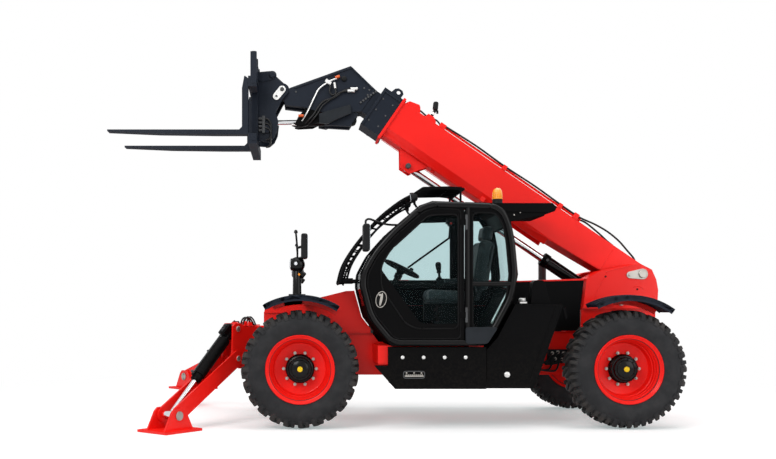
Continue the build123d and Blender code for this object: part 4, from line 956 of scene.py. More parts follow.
seams = Work()
for along, above in ((3.56, 0.045), (3.545, -0.010), (3.62, 0.030), (4.22, -0.43)):
    seams.nut(on_boom(along, above, head_side), (0, 1, 0), 0.011, 0.009)
for k in range(7):
    seams.nut(on_boom(3.492 + 0.0115 * k, 0.072 - 0.0325 * k, head_side - 0.002), (0, 1, 0), 0.013, 0.018)
seams.done("head_bolts", cast_iron, "boom_inner", 0.0006)
boss = Work().lathe(on_boom(3.862, -0.012, head_side), (0, 1, 0),
                    [(0, 0.030), (0.020, 0.030), (0.026, 0.024), (0.030, 0.012)], 24)
boss.done("head_boss", dark_plastic, "boom_inner", 0.001)
web = Work()
for y in (0.116, -0.130):
    web.boom_plate([(3.780, -0.480), (4.030, -0.490), (4.045, -0.640), (4.030, -0.735), (3.990, -0.720),
                    (3.860, -0.620)], y, 0.014)
web.done("head_inner_webs", black, "boom_inner", 0.002, slot="dark_paint")
print("head dressed")

# %% [markdown]
# The pin that joins the head and the coupler is held by a bright keeper plate with two
# round ends. The coupler has a raised ear for the carriage's locking bar, and hoses for
# an attachment end in a small bank of couplings beside the carriage.

# %% Coupler and carriage
def rounded_link(start, end, radius, steps=10):
    """Outline of a strap with two round ends, as pairs."""
    (ax, az), (bx, bz) = start, end
    heading = math.atan2(bz - az, bx - ax)
    around = [(bx, bz, heading - math.pi / 2 + math.pi * k / steps) for k in range(steps + 1)]
    around += [(ax, az, heading + math.pi / 2 + math.pi * k / steps) for k in range(steps + 1)]
    return [(x + radius * math.cos(t), z + radius * math.sin(t)) for x, z, t in around]


hitch = pin_of("fork_tilt")
coupler_side = 0.178
keeper, pins = Work(), Work()
for side in sides.values():
    keeper.side_plate(rounded_link((hitch.x + 0.004, hitch.z - 0.002), (hitch.x + 0.066, hitch.z - 0.078),
                                   0.040),
                      face_start(side, coupler_side, 0.012), 0.012)
    reach = coupler_side + 0.011
    pins.lathe((hitch.x + 0.004, side * reach, hitch.z - 0.002), (0, side, 0),
               [(0, 0.022), (0.010, 0.022), (0.013, 0.018)], 24)
    pins.nut((hitch.x + 0.066, side * reach, hitch.z - 0.078), (0, side, 0), 0.013, 0.010)
keeper.done("hitch_keepers", bright_plate, "carriage", 0.0015)
pins.done("hitch_pin_ends", cast_iron, "carriage", 0.0006)

ear = Work()
for side in sides.values():
    face = coupler_side - 0.004 if side == 1 else -coupler_side - 0.010
    ear.side_plate(rounded_link((hitch.x + 0.112, hitch.z + 0.154), (hitch.x + 0.225, hitch.z + 0.128),
                                0.048),
                   face, 0.014)
    ear.lathe((hitch.x + 0.112, side * (coupler_side + 0.008), hitch.z + 0.154), (0, side, 0),
              [(0, 0.034), (0.022, 0.034), (0.026, 0.028), (0.026, 0.016)], 28)
    ear.lathe((hitch.x + 0.170, side * coupler_side, hitch.z - 0.440), (0, side, 0),
              [(0, 0.045), (0.018, 0.045), (0.022, 0.038)], 28)
ear.done("coupler_ears", blue_black, "carriage", 0.002, slot="dark_paint")

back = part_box("carriage")[0].x
bank = Work()
for k in range(4):
    bank.bar((back - 0.050, 0.196, hitch.z - 0.330 - 0.042 * k),
             (back - 0.005, 0.196, hitch.z - 0.330 - 0.042 * k), 0.015)
bank.block((back - 0.060, 0.196, hitch.z - 0.393), (0.030, 0.036, 0.190))
bank.done("coupling_bank", cast_iron, "carriage", 0.001)
loops = Work()
for k in range(3):
    z, drop = hitch.z - 0.330 - 0.05 * k, 0.03 * k
    loops.add(hose([(back - 0.070, 0.196, z), (back - 0.110, 0.200, z - 0.010),
                    (back - 0.140, 0.196, z - 0.060), (back - 0.130, 0.190, z - 0.130 - drop),
                    (back - 0.085, 0.186, z - 0.150 - drop)],
                   0.011, hose_rubber))
loops.done("attachment_hoses", hose_rubber, "carriage", 0)

frame_low, frame_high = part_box("carriage")
rails = Work()
for y in (-0.50, -0.42, 0.42, 0.50):
    rails.nut((frame_low.x - 0.002, y, hitch.z - 0.005), (-1, 0, 0), 0.014, 0.012)
for side in sides.values():
    for z in (hitch.z - 0.002, hitch.z - 0.611):
        rails.block((frame_high.x - 0.060, side * (frame_high.y - 0.006), z), (0.050, 0.024, 0.050))
rails.done("carriage_stops", blue_black, "carriage", 0.0015, slot="dark_paint")
print("carriage dressed, back at", round(back, 3))

# %% [markdown]
# ## Inside the cab
# The seat shows through the door and quarter windows, so it is a real seat: three foam
# cushions in cloth on a bellows and a shell. Each cushion starts as a block a little too
# small, is remeshed evenly and blown up as cloth with pressure, with a cap on how far
# any point may travel. Seams are pressed in afterwards, because remeshing erases them.

# %% Cushions
def cushion(name, centre, size, lean, cap, seams):
    """A stitched foam cushion. Seams are (axis, place, depth, width) in the cushion's own frame."""
    work = Work().block((0, 0, 0), [edge - cap for edge in size])
    bmesh.ops.bevel(work.mesh, geom=work.mesh.edges[:], offset=0.022, segments=3, affect="EDGES", profile=0.6)
    bmesh.ops.recalc_face_normals(work.mesh, faces=work.mesh.faces)
    mesh = bpy.data.meshes.new(name)
    work.mesh.to_mesh(mesh)
    piece = bpy.data.objects.new(name, mesh)
    bpy.context.scene.collection.objects.link(piece)
    even = piece.modifiers.new("even", "REMESH")
    even.mode, even.voxel_size = "VOXEL", 0.006

    def settle():
        graph = bpy.context.evaluated_depsgraph_get()
        made = bpy.data.meshes.new_from_object(piece.evaluated_get(graph))
        piece.modifiers.clear()
        piece.data = made

    settle()
    start = [vertex.co.copy() for vertex in piece.data.vertices]
    cover = piece.modifiers.new("cover", "CLOTH").settings
    cover.use_pressure, cover.uniform_pressure_force = True, 4.0
    cover.effector_weights.gravity = 0.0
    for step in range(1, 21):
        bpy.context.scene.frame_set(step)
    settle()
    bpy.context.scene.frame_set(1)
    for vertex, before in zip(piece.data.vertices, start):
        travel = vertex.co - before
        if travel.length > cap:
            vertex.co = before + travel.normalized() * cap
    half = [edge / 2 for edge in size]
    for vertex in piece.data.vertices:
        for axis, place, depth, width in seams:
            away = abs(vertex.co[axis] - place)
            if away < 3 * width:
                vertex.co -= vertex.normal * depth * math.exp(-(away / width) ** 2)
        for axis in range(3):
            vertex.co[axis] = max(-half[axis], min(half[axis], vertex.co[axis]))
    smooth = piece.modifiers.new("smooth", "SUBSURF")
    smooth.levels = smooth.render_levels = 1
    settle()
    mesh = piece.data
    mesh.transform(Matrix.Translation(centre) @ Matrix.Rotation(lean, 4, "Y"))
    mesh.materials.clear()
    mesh.materials.append(seat_cloth)
    mesh.shade_smooth()
    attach(piece, "chassis")
    return piece


seat_low, seat_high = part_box("seat")
seat_y = (seat_low.y + seat_high.y) / 2
floor_z = seat_low.z
seat_parts = [
    cushion("seat_base", ahead(-1.530, seat_y, 1.345), (0.450, 0.440, 0.115), math.radians(-3), 0.020,
            [(1, 0.13, 0.006, 0.008), (1, -0.13, 0.006, 0.008), (0, 0.02, 0.004, 0.008)]),
    cushion("seat_back", ahead(-1.893, seat_y, 1.660), (0.160, 0.440, 0.530), math.radians(-9), 0.020,
            [(1, 0.12, 0.006, 0.008), (1, -0.12, 0.006, 0.008), (2, 0.10, 0.004, 0.008),
             (2, -0.08, 0.004, 0.008)]),
    cushion("seat_head", ahead(-1.945, seat_y, 1.992), (0.110, 0.290, 0.160), math.radians(-8), 0.014, []),
]
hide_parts("seat")
print("cushions", [(part.name, len(part.data.vertices)) for part in seat_parts])

# %% [markdown]
# Under the cushions are a vinyl shell, a rubber bellows over the suspension and the two
# armrests. The right one carries the joystick. The steering wheel is thinner than the
# packed one and has a thumb-grip rim, three spokes and a hub.

# %% Seat shell, armrests and joystick
shell = Work()
shell.block(ahead(-1.545, seat_y, 1.278), (0.430, 0.420, 0.030))
shell.front_plate([(-1.790, 1.290), (-1.845, 1.300), (-1.955, 1.700), (-2.000, 1.890), (-1.975, 1.905),
                   (-1.925, 1.700)], seat_y - 0.200, 0.400)
for y in (seat_y - 0.07, seat_y + 0.07):
    shell.bar(ahead(-1.955, y, 1.87), ahead(-1.957, y, 1.95), 0.008)
for side, tall in ((-1, 0.062), (1, 0.040)):
    shell.block(ahead(-1.640, seat_y + side * 0.262, 1.500), (0.330, 0.062, tall))
    shell.bar(ahead(-1.800, seat_y + side * 0.245, 1.340), ahead(-1.770, seat_y + side * 0.262, 1.500), 0.014)
shell.done("seat_shell", seat_vinyl, "chassis", 0.008, slot="seat_fabric", segments=3)

bellows = Work()
folds = 9
for k in range(folds):
    wide = 0.350 if k % 2 else 0.310
    low = floor_z + 0.04 + (1.258 - floor_z - 0.04) * k / folds
    bellows.block(ahead(-1.600, seat_y, low + 0.018), (wide, wide - 0.02, 0.036))
bellows.block(ahead(-1.600, seat_y, floor_z + 0.02), (0.380, 0.340, 0.040))
bellows.done("seat_bellows", seal_rubber, "chassis", 0.004)

stick = Work()
stick_foot = ahead(-1.500, seat_y - 0.262, 1.535)
stick.block(stick_foot - Vector((0.02, 0, 0.012)), (0.110, 0.070, 0.028))
for k in range(4):
    wide = 0.030 - 0.005 * k
    stick.lathe(stick_foot + Vector((0, 0, 0.008 * k)), (0, 0, 1), [(0, wide), (0.007, wide)], 20)
stick.lathe(stick_foot + Vector((0, 0, 0.03)), (0.10, 0, 1),
            [(0, 0.012), (0.030, 0.013), (0.036, 0.026), (0.060, 0.022), (0.080, 0.028), (0.125, 0.032),
             (0.146, 0.024), (0.152, 0.010)], 20)
stick.done("joystick", dark_plastic, "chassis", 0.002)
# The button takes the red lens finish, so it glows a little though it is no lamp: a painted glow.
button = Work().bar(stick_foot + Vector((0.014, 0.012, 0.170)), stick_foot + Vector((0.014, 0.012, 0.181)),
                    0.007)
button.done("joystick_button", red_lens, "chassis", 0.0008)

# %% [markdown]
# The dash is a moulded pod on the column with two dials. Pedals stand on a ribbed rubber
# mat, and a console with a row of switches runs along the seat's inner side.

# %% Steering wheel, dash and pedals
wheel_axis = Vector((-0.45, 0, 0.89)).normalized()
wheel_hub = ahead(-1.062, seat_y, 1.620) + wheel_axis * 0.012
steer = Work()
grip = [(0.018 * math.sin(t), 0.184 + 0.018 * math.cos(t)) for t in [2 * math.pi * k / 12 for k in range(12)]]
steer.lathe(wheel_hub, wheel_axis, grip, 56, ring=True)
across = Vector((0, 1, 0))
front_way = wheel_axis.cross(across)
for turn in (math.radians(90), math.radians(210), math.radians(330)):
    outward = across * math.cos(turn) + front_way * math.sin(turn)
    steer.loft([[wheel_hub + outward * reach + wheel_axis * (rise + z) + wheel_axis.cross(outward) * y
                 for y, z in ((-wide, -0.005), (wide, -0.005), (wide, 0.005), (-wide, 0.005))]
                for reach, rise, wide in ((0.030, -0.014, 0.020), (0.110, -0.010, 0.013),
                                          (0.170, -0.001, 0.012))])
steer.lathe(wheel_hub, wheel_axis, [(-0.060, 0.030), (-0.030, 0.050), (-0.006, 0.052), (0.006, 0.044),
                                    (0.009, 0.020)], 32)
knob_turn = 2.5
knob_spot = wheel_hub + (across * math.cos(knob_turn) + front_way * math.sin(knob_turn)) * 0.176
steer.lathe(knob_spot, wheel_axis, [(0.01, 0.008), (0.030, 0.009), (0.036, 0.020), (0.062, 0.022),
                                    (0.070, 0.012)], 20)
steer.bar(ahead(-0.880, seat_y, 1.260), wheel_hub - wheel_axis * 0.05, 0.030)
steer.lathe(wheel_hub - wheel_axis * 0.110, wheel_axis, [(0, 0.040), (0.05, 0.042)], 24)
lever = wheel_hub - wheel_axis * 0.085
for side in sides.values():
    steer.bar(lever, lever + Vector((0.01, side * 0.15, 0.012)), 0.0055)
steer.done("steering_wheel", dark_plastic, "chassis", 0.001, ["steering_column"], "dark_plastic")

dash = Work()
dash.front_plate([(-0.960, floor_z), (-0.868, 1.010), (-0.800, 1.180), (-0.802, 1.300), (-0.860, 1.352),
                  (-0.930, 1.345), (-0.985, 1.180), (-1.058, floor_z)], seat_y - 0.160, 0.320)
dash.front_plate([(-0.850, 1.340), (-0.865, 1.430), (-0.905, 1.452), (-0.930, 1.345)], seat_y - 0.115, 0.230)
for y in (seat_y - 0.09, seat_y + 0.09):
    dash.plate([ahead(-1.090, y - 0.038, floor_z + 0.050), ahead(-1.090, y + 0.038, floor_z + 0.050),
                ahead(-1.040, y + 0.038, floor_z + 0.125), ahead(-1.040, y - 0.038, floor_z + 0.125)],
               (0.010, 0, -0.006))
    dash.bar(ahead(-1.060, y, floor_z + 0.08), ahead(-0.990, y, floor_z + 0.14), 0.009)
dash.block(ahead(-1.560, seat_y - 0.350, 1.230), (0.440, 0.085, 0.300))
dash.block(ahead(-1.300, 0.315, 1.482), (0.900, 0.040, 0.085))
dash.block(ahead(-1.560, seat_y - 0.350, 1.392), (0.420, 0.080, 0.020))
dash.done("dash", dark_plastic, "chassis", 0.010, segments=3)
switches = Work().add(row_of(Work().block(ahead(-1.72, seat_y - 0.350, 1.404), (0.022, 0.030, 0.010)), 8,
                             (0.046, 0, 0), grey_plastic))
for y in (seat_y - 0.05, seat_y + 0.05):
    switches.bar(ahead(-0.914, y, 1.405), ahead(-0.926, y, 1.402), 0.036, 28)
switches.done("switches", grey_plastic, "chassis", 0.0015)
mat = Work().block(ahead(-1.32, seat_y, floor_z + 0.004), (0.62, 0.62, 0.008))
mat_rib = Work().block(ahead(-1.60, seat_y, floor_z + 0.010), (0.012, 0.58, 0.006))
mat.add(row_of(mat_rib, 22, (0.026, 0, 0), seal_rubber))
mat.done("floor_mat", seal_rubber, "chassis", 0.001)
print("interior made, floor at", round(floor_z, 3))

# %% [markdown]
# ## Outside the cab
# The cab's frame is bent from round tube, which shows as a highlight all round the door
# and the quarter window. Panes sit in black rubber. The tube is a hose along the rounded
# outline, and so are the seals.

# %% Tube frame and seals
def rounded(points, radius, steps=6):
    """A closed outline with its corners rounded, as pairs."""
    made = []
    for k, here in enumerate(points):
        before, after = Vector(points[k - 1]), Vector(points[(k + 1) % len(points)])
        corner = Vector(here)
        reach = min(radius, (before - corner).length * 0.45, (after - corner).length * 0.45)
        first = corner + (before - corner).normalized() * reach
        last = corner + (after - corner).normalized() * reach
        for step in range(steps + 1):
            t = step / steps
            made.append(tuple(first * (1 - t) ** 2 + corner * 2 * t * (1 - t) + last * t ** 2))
    return made


def inset(points, by):
    """The outline moved inward by a distance. Points run round it in either sense."""
    area = sum(points[k - 1][0] * points[k][1] - points[k][0] * points[k - 1][1] for k in range(len(points)))
    sense = 1 if area > 0 else -1
    made = []
    for k, here in enumerate(points):
        coming = (Vector(here) - Vector(points[k - 1])).normalized()
        going = (Vector(points[(k + 1) % len(points)]) - Vector(here)).normalized()
        normal = Vector((-coming.y - going.y, coming.x + going.x)) * sense
        made.append(tuple(Vector(here) + normal * by / max(0.3, 1 + coming.dot(going))))
    return made


def loop_of(points, y, radius, material):
    """A closed tube along an outline given ahead of the front axle and up."""
    line = [(front_x + x, y, z) for x, z in points]
    return hose(line + line[:2], radius, material, 2)


far_side, cab_side = [corner.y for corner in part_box("cab_frame")]
cab_outline = [(-0.914, 0.841), (-0.684, 1.123), (-0.601, 1.442), (-0.613, 1.583), (-0.722, 1.787),
               (-0.914, 2.005), (-1.195, 2.247), (-1.323, 2.292), (-1.949, 2.272), (-2.051, 2.209),
               (-2.114, 2.082), (-2.153, 1.889), (-2.184, 1.557), (-2.140, 1.314), (-1.962, 0.983),
               (-1.834, 0.841)]
door_pane = [(-1.585, 1.015), (-1.180, 1.010), (-1.060, 1.060), (-0.815, 1.420), (-0.812, 1.640),
             (-0.905, 1.800), (-1.290, 2.150), (-1.585, 2.158)]
quarter_pane = [(-1.730, 1.020), (-1.930, 1.030), (-2.070, 1.350), (-2.095, 1.560), (-2.065, 1.890),
                (-2.030, 2.060), (-1.960, 2.170), (-1.730, 2.175)]
tubes = Work()
tube_line = rounded(inset(cab_outline, 0.033), 0.10)
tubes.add(loop_of(tube_line, cab_side - 0.006, 0.031, black))
tubes.bar(ahead(-1.682, cab_side - 0.008, 0.90), ahead(-1.682, cab_side - 0.008, 2.24), 0.022)
tubes.bar(ahead(-1.725, cab_side - 0.016, 1.462), ahead(-2.125, cab_side - 0.016, 1.462), 0.026)
tubes.done("cab_tubes", black_gloss, "chassis", 0, slot="black_paint")

seals = Work()
seals.add(loop_of(rounded(quarter_pane, 0.06), cab_side + 0.001, 0.007, seal_rubber))
seals.add(loop_of(rounded(inset(cab_outline, 0.004), 0.05), far_side - 0.002, 0.007, seal_rubber))
seals.done("cab_seals", seal_rubber, "chassis", 0)
door_edge = [(-1.648, 0.872), (-0.935, 0.872), (-0.716, 1.135), (-0.636, 1.447), (-0.648, 1.572),
             (-0.752, 1.765), (-0.938, 1.977), (-1.213, 2.213), (-1.330, 2.254), (-1.648, 2.246)]
door_lines = Work()
door_lines.add(loop_of(rounded(door_pane, 0.06), cab_side + 0.001, 0.008, seal_rubber))
door_lines.add(loop_of(rounded(inset(door_edge, 0.038), 0.06), cab_side, 0.006, seal_rubber))
door_lines.done("door_seals", seal_rubber, "cab_door", 0)
door_bar = Work()
door_bar.bar(ahead(-0.850, cab_side - 0.050, 1.447), ahead(-1.590, cab_side - 0.050, 1.447), 0.017)
door_bar.done("door_grab_bar", black, "cab_door", 0, slot="black_paint")
print("cab side at", round(cab_side, 3), "far side at", round(far_side, 3))

# %% [markdown]
# The door's handle is an oval dish with a bright rim and a pull inside. A dark moulded
# panel fills the corner below the quarter window, and two hinges stand in front of it. A
# wiper hangs behind the glass on the boom's side, and a bright grab handle at the rear.

# %% Handle, corner panel, wiper
def oval(centre, wide, tall, lean=0.0, steps=40):
    """A leaning oval round a centre, as pairs."""
    made = []
    for k in range(steps):
        t = 2 * math.pi * k / steps
        x, z = wide * math.cos(t), tall * math.sin(t)
        made.append((centre[0] + x * math.cos(lean) - z * math.sin(lean),
                     centre[1] + x * math.sin(lean) + z * math.cos(lean)))
    return made


def frame_ring(outer, inner, y_back, y_front):
    """A raised rim between two outlines of as many points."""
    return Work().loft([[(x, y, z) for x, z in outline] for outline, y in (
        (outer, y_back), (outer, y_front), (inner, y_front), (inner, y_back))], ring=True)


handle_spot = (front_x - 0.812, 1.305)
lean = math.radians(12)
dish = oval(handle_spot, 0.048, 0.076, lean)
rim_work = frame_ring(oval(handle_spot, 0.055, 0.084, lean), dish, cab_side - 0.002, cab_side + 0.012)
rim_work.done("door_handle_rim", zinc, "cab_door", 0.002)
Work().side_plate(dish, cab_side - 0.002, 0.005).done("door_handle_dish", seal_rubber, "cab_door", 0.002)
pull = Work().side_plate(oval(handle_spot, 0.013, 0.066, lean), cab_side + 0.002, 0.014)
pull.side_plate(oval((handle_spot[0] + 0.004, handle_spot[1] + 0.044), 0.024, 0.012, lean), cab_side + 0.002,
                0.010)
pull.done("door_handle", zinc, "cab_door", 0.002)

border = Work().front_plate(rounded(
    [(-0.806, 1.632), (-0.806, 1.400), (-1.055, 1.050), (-1.180, 1.004), (-1.588, 1.008), (-1.588, 1.062),
     (-1.240, 1.062), (-1.190, 1.088), (-0.830, 1.585)], 0.015, 3), cab_side - 0.0125, 0.009)
border.done("door_pane_border", black, "cab_door", 0, slot="black_paint")

corner = Work().front_plate(rounded(
    [(-1.656, 1.028), (-1.958, 1.028), (-1.972, 1.012), (-1.880, 0.872), (-1.862, 0.862), (-1.656, 0.862)],
    0.03),
    cab_side - 0.004, 0.034)
corner.done("corner_panel", grey_plastic, "chassis", 0.003)
hinges = Work()
for z in (1.150, 2.080):
    hinges.block(ahead(-1.668, cab_side + 0.006, z), (0.026, 0.014, 0.150))
    for step in (-0.05, 0.05):
        hinges.nut(ahead(-1.672, cab_side + 0.012, z + step), (0, 1, 0), 0.007, 0.006)
hinges.done("hinge_leaves", cast_iron, "chassis", 0.002)

wiper = Work()
wiper_y = far_side + 0.050
points = [(-1.640, 2.140), (-1.628, 1.985), (-1.175, 1.660)]
for (x0, z0), (x1, z1) in zip(points, points[1:]):
    wiper.bar(ahead(x0, wiper_y, z0), ahead(x1, wiper_y, z1), 0.011)
wiper.lathe(ahead(-1.640, wiper_y - 0.02, 2.140), (0, 1, 0), [(0, 0.034), (0.06, 0.034), (0.066, 0.026)], 24)
wiper.block(ahead(-1.640, wiper_y + 0.01, 2.165), (0.10, 0.06, 0.055))
wiper.done("wiper", dark_plastic, "chassis", 0.002)
# The wiper knob takes the red lens finish and glows a little though it is no lamp: a painted glow.
glowing_knob = Work().bar(ahead(-1.640, wiper_y + 0.030, 2.140), ahead(-1.640, wiper_y + 0.052, 2.140), 0.012)
glowing_knob.done("wiper_knob", red_lens, "chassis", 0.001)
grab = Work().add(hose([ahead(x, cab_side - inward, z) for x, inward, z in (
    (-1.940, 0.07, 1.070), (-1.955, 0.10, 1.100), (-2.060, 0.10, 1.300), (-2.115, 0.10, 1.400),
    (-2.125, 0.07, 1.420))], 0.014, bright_plate))
grab.done("grab_handle", bright_plate, "chassis", 0)
print("handle, panel and wiper placed")


# %% [markdown]
# ## Body
# Under the door hangs a folded black panel, bolted on and cut away at its front corner,
# with a step pressed into it. The tank behind it has folded edges that catch the light,
# one big bolt and a filler housing on top. Folds are thin strips laid on the flat sheet.

# %% Side panel and tank
panel_y, tank_y = 1.120, 1.100


def strip(work, start, end, wide, y, thick):
    """A thin raised strip from one X, Z point to another on a side face."""
    a, b = Vector((start[0], 0, start[1])), Vector((end[0], 0, end[1]))
    across = Vector((0, 1, 0)).cross(b - a).normalized() * wide / 2
    return work.plate([(p.x, y, p.z) for p in (a - across, b - across, b + across, a + across)],
                      (0, thick, 0))


def dome(work, centre, axis, radius, height):
    """A round bolt head or cap."""
    return work.lathe(centre, axis, [(0, radius), (height * 0.45, radius * 0.96),
                                     (height * 0.85, radius * 0.66), (height, radius * 0.25)], 20)


sheet_back = 1.0753
panel = Work().front_plate([(-0.886, 0.828), (-0.886, 0.640), (-0.750, 0.640), (-0.957, 0.405),
                            (-1.873, 0.405), (-1.873, 0.828)], sheet_back, panel_y - sheet_back)
panel.block(ahead(-1.385, 0.8125, 0.535), (0.890, 0.525, 0.210))
panel.done("side_panel_sheet", black, "chassis", 0.004, ["side_panel"], "black_paint")
well = rounded([(-1.035, 0.510), (-1.256, 0.510), (-1.256, 0.588), (-1.035, 0.588)], 0.03)
outer, inner = [[(front_x + x, z) for x, z in line] for line in (well, inset(well, 0.010))]
frame_ring(outer, inner, panel_y - 0.001, panel_y + 0.008).done("step_rim", cast_iron, "chassis", 0.002)
tread = Work()
tread.block(ahead(-1.1455, panel_y + 0.010, 0.536), (0.190, 0.020, 0.012))
tooth = Work().block(ahead(-1.225, panel_y + 0.012, 0.546), (0.010, 0.018, 0.016))
tread.add(row_of(tooth, 9, (0.020, 0, 0), zinc))
for x in (-1.070, -1.145, -1.220):
    dome(tread, ahead(x, panel_y + 0.002, 0.566), (0, 1, 0), 0.009, 0.008)
tread.done("step_tread", zinc, "chassis", 0.001)
bolts = Work().add(row_of(dome(Work(), ahead(-1.664, panel_y, 0.7236), (0, 1, 0), 0.019, 0.012), 4,
                          (0.211, 0, 0), bright_plate))
dome(bolts, ahead(-2.085, tank_y, 0.549), (0, 1, 0), 0.030, 0.018)
bolts.done("panel_bolts", bright_plate, "chassis", 0.0006)

folds = Work()
tank_front = [(front_x - 1.884, 0.414), (front_x - 1.884, 0.798), (front_x - 1.992, 0.918),
              (front_x - 2.172, 1.256)]
tank_rear = [(rear_x + 0.656, 1.246), (rear_x + 0.944, 0.414)]
tank_edge = tank_front + tank_rear
for start, end in zip(tank_edge, tank_edge[1:]):
    strip(folds, start, end, 0.012, tank_y, 0.004)
strip(folds, (rear_x + 0.718, 1.246), (rear_x + 0.990, 0.470), 0.010, tank_y, 0.005)
folds.front_plate([(-2.350, 1.262), (-2.372, 1.480), (-2.395, 1.502), (-2.470, 1.504), (-2.495, 1.486),
                   (-2.552, 1.252)], 0.860, 0.130)
folds.lathe(ahead(-2.270, 0.960, 1.258), (0, 0, 1), [(0, 0.052), (0.022, 0.052), (0.030, 0.044)], 28)
folds.side_plate([(rear_x + x, z) for x, z in ((0.650, 1.215), (0.622, 1.225), (0.600, 1.120),
                                               (0.618, 1.105))],
                 1.060, 0.02)
folds.done("tank_folds", black, "chassis", 0.003, slot="black_paint")
cap = Work().lathe(ahead(-2.270, 0.960, 1.288), (0, 0, 1), [(0, 0.036), (0.018, 0.038), (0.024, 0.032)], 28)
cap.block(ahead(-2.270, 0.960, 1.314), (0.064, 0.012, 0.014))
cap.block(ahead(-2.252, 1.085, 1.274), (0.070, 0.016, 0.016))
cap.done("tank_cap", bright_plate, "chassis", 0.002)
print("panel and tank dressed")

# %% [markdown]
# The engine cover's inner wall carries a thin black sheet of painted shade, which is what
# shows dark under the raised boom and through the cab. Its outer side has cooling slots and a
# latch, and the pod below it a louvred grille. The exhaust stands on the pod's rear.

# %% Engine cover
hood_low, hood_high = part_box("engine_hood")
pod_low, pod_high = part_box("engine_pod")
# Painted shade: a thin black sheet laid over the red inner wall of the engine cover.
shade_sheet = Work().block(((hood_low.x + hood_high.x) / 2, -0.3875, 1.3865),
                     (hood_high.x - hood_low.x - 0.002, 0.005, 0.271))
shade_sheet.done("hood_shade_sheet", black, "engine_hood", 0.001)
slats = Work()
for z in (1.300, 1.275):
    slot = Work().block((hood_low.x + 0.16, -1.119, z), (0.100, 0.012, 0.012))
    slats.add(row_of(slot, 12, (0.130, 0, 0), black))
slats.done("hood_slots", black, "engine_hood", 0.002, slot="black_paint")
hood_middle = (hood_low.x + hood_high.x) / 2
latch = Work().block((hood_middle, -1.124, 1.262), (0.110, 0.012, 0.020))
latch.lathe((hood_middle, -1.118, 1.262), (0, -1, 0), [(0, 0.016), (0.016, 0.016), (0.020, 0.010)], 20)
latch.done("hood_latch", dark_plastic, "engine_hood", 0.002)
grille = Work()
windows = [pod_low.x + 0.42 + 0.62 * k for k in range(3)]
for x in windows:
    louvre = Work().block((x, -1.123, 0.700), (0.500, 0.010, 0.014))
    grille.add(row_of(louvre, 14, (0, 0, 0.030), black))
for x in (0.135, 0.730, 1.350, 1.950):
    grille.block((pod_low.x + x, -1.124, 0.895), (0.030, 0.010, 0.450))
for x in windows:
    for shift in (-0.24, 0.24):
        grille.block((x + shift, -1.123, 0.895), (0.016, 0.008, 0.430))
grille.done("pod_grille", black, "chassis", 0.002, slot="black_paint")
stack = Work()
stack.lathe((pod_low.x + 0.36, -0.635, pod_high.z - 0.002), (0, 0, 1),
            [(0, 0.062), (0.02, 0.062), (0.022, 0.045), (0.24, 0.045), (0.262, 0.050), (0.270, 0.046)], 32)
stack.done("exhaust", cast_iron, "chassis", 0.002)
print("engine cover dressed")

# %% [markdown]
# ## Fenders, lamps and mirrors
# Each fender is moulded plastic: an outer lip turned down, a raised rib along the middle
# and a red strap below. All of them are plates cut along an arc about the wheel's axle.

# %% Fenders
def arc(centre_x, radius, start, end, steps=28):
    """Points on a circle about a wheel's centre, from one angle to another in degrees."""
    turns = [math.radians(start + (end - start) * k / steps) for k in range(steps + 1)]
    return [(centre_x + radius * math.cos(t), axle_z + radius * math.sin(t)) for t in turns]


def band_plate(work, centre_x, outer, inner, start, end, side, face, thick):
    """A curved plate between two circles, lying outside a face."""
    work.side_plate(arc(centre_x, outer, start, end) + arc(centre_x, inner, end, start),
                    face_start(side, face, thick), thick)


lips, under = Work(), Work()
for centre_x, start, end, straps in ((front_x, 60, 122, ((66, 92), (76, 124))),
                                     (rear_x, 62, 126, ((84, 122),))):
    for side in sides.values():
        band_plate(lips, centre_x, 0.749, 0.690, start, end, side, 1.188, 0.012)
        band_plate(lips, centre_x, 0.748, 0.700, start, end, side, 0.852, 0.010)
        for face, wide in ((1.020, 0.060), (1.110, 0.018), (0.930, 0.018)):
            band_plate(lips, centre_x, 0.753, 0.740, start + 1, end - 1, side, face, wide)
        for first, last in straps:
            band_plate(under, centre_x, 0.705, 0.655, first, last, side, 0.864, 0.020)
lips.done("fender_lips", blue_black, "chassis", 0.003, slot="dark_paint")
for side in sides.values():
    under.front_plate([(0.386, 1.165), (0.380, 1.215), (0.300, 1.262), (0.150, 1.285), (-0.150, 1.295),
                       (-0.150, 1.165)], face_start(side, 0.424, 0.012), 0.012)
under.done("fender_straps", red, "chassis", 0.002, slot="red_paint")

# %% [markdown]
# On each front fender stands a post with a round lamp, a small indicator and a mirror on
# a thin arm, and one more mirror hangs from the cab's corner. Lamps are turned, and the
# mirrors are blocks with a wide bevel, which gives them their soft moulded look.

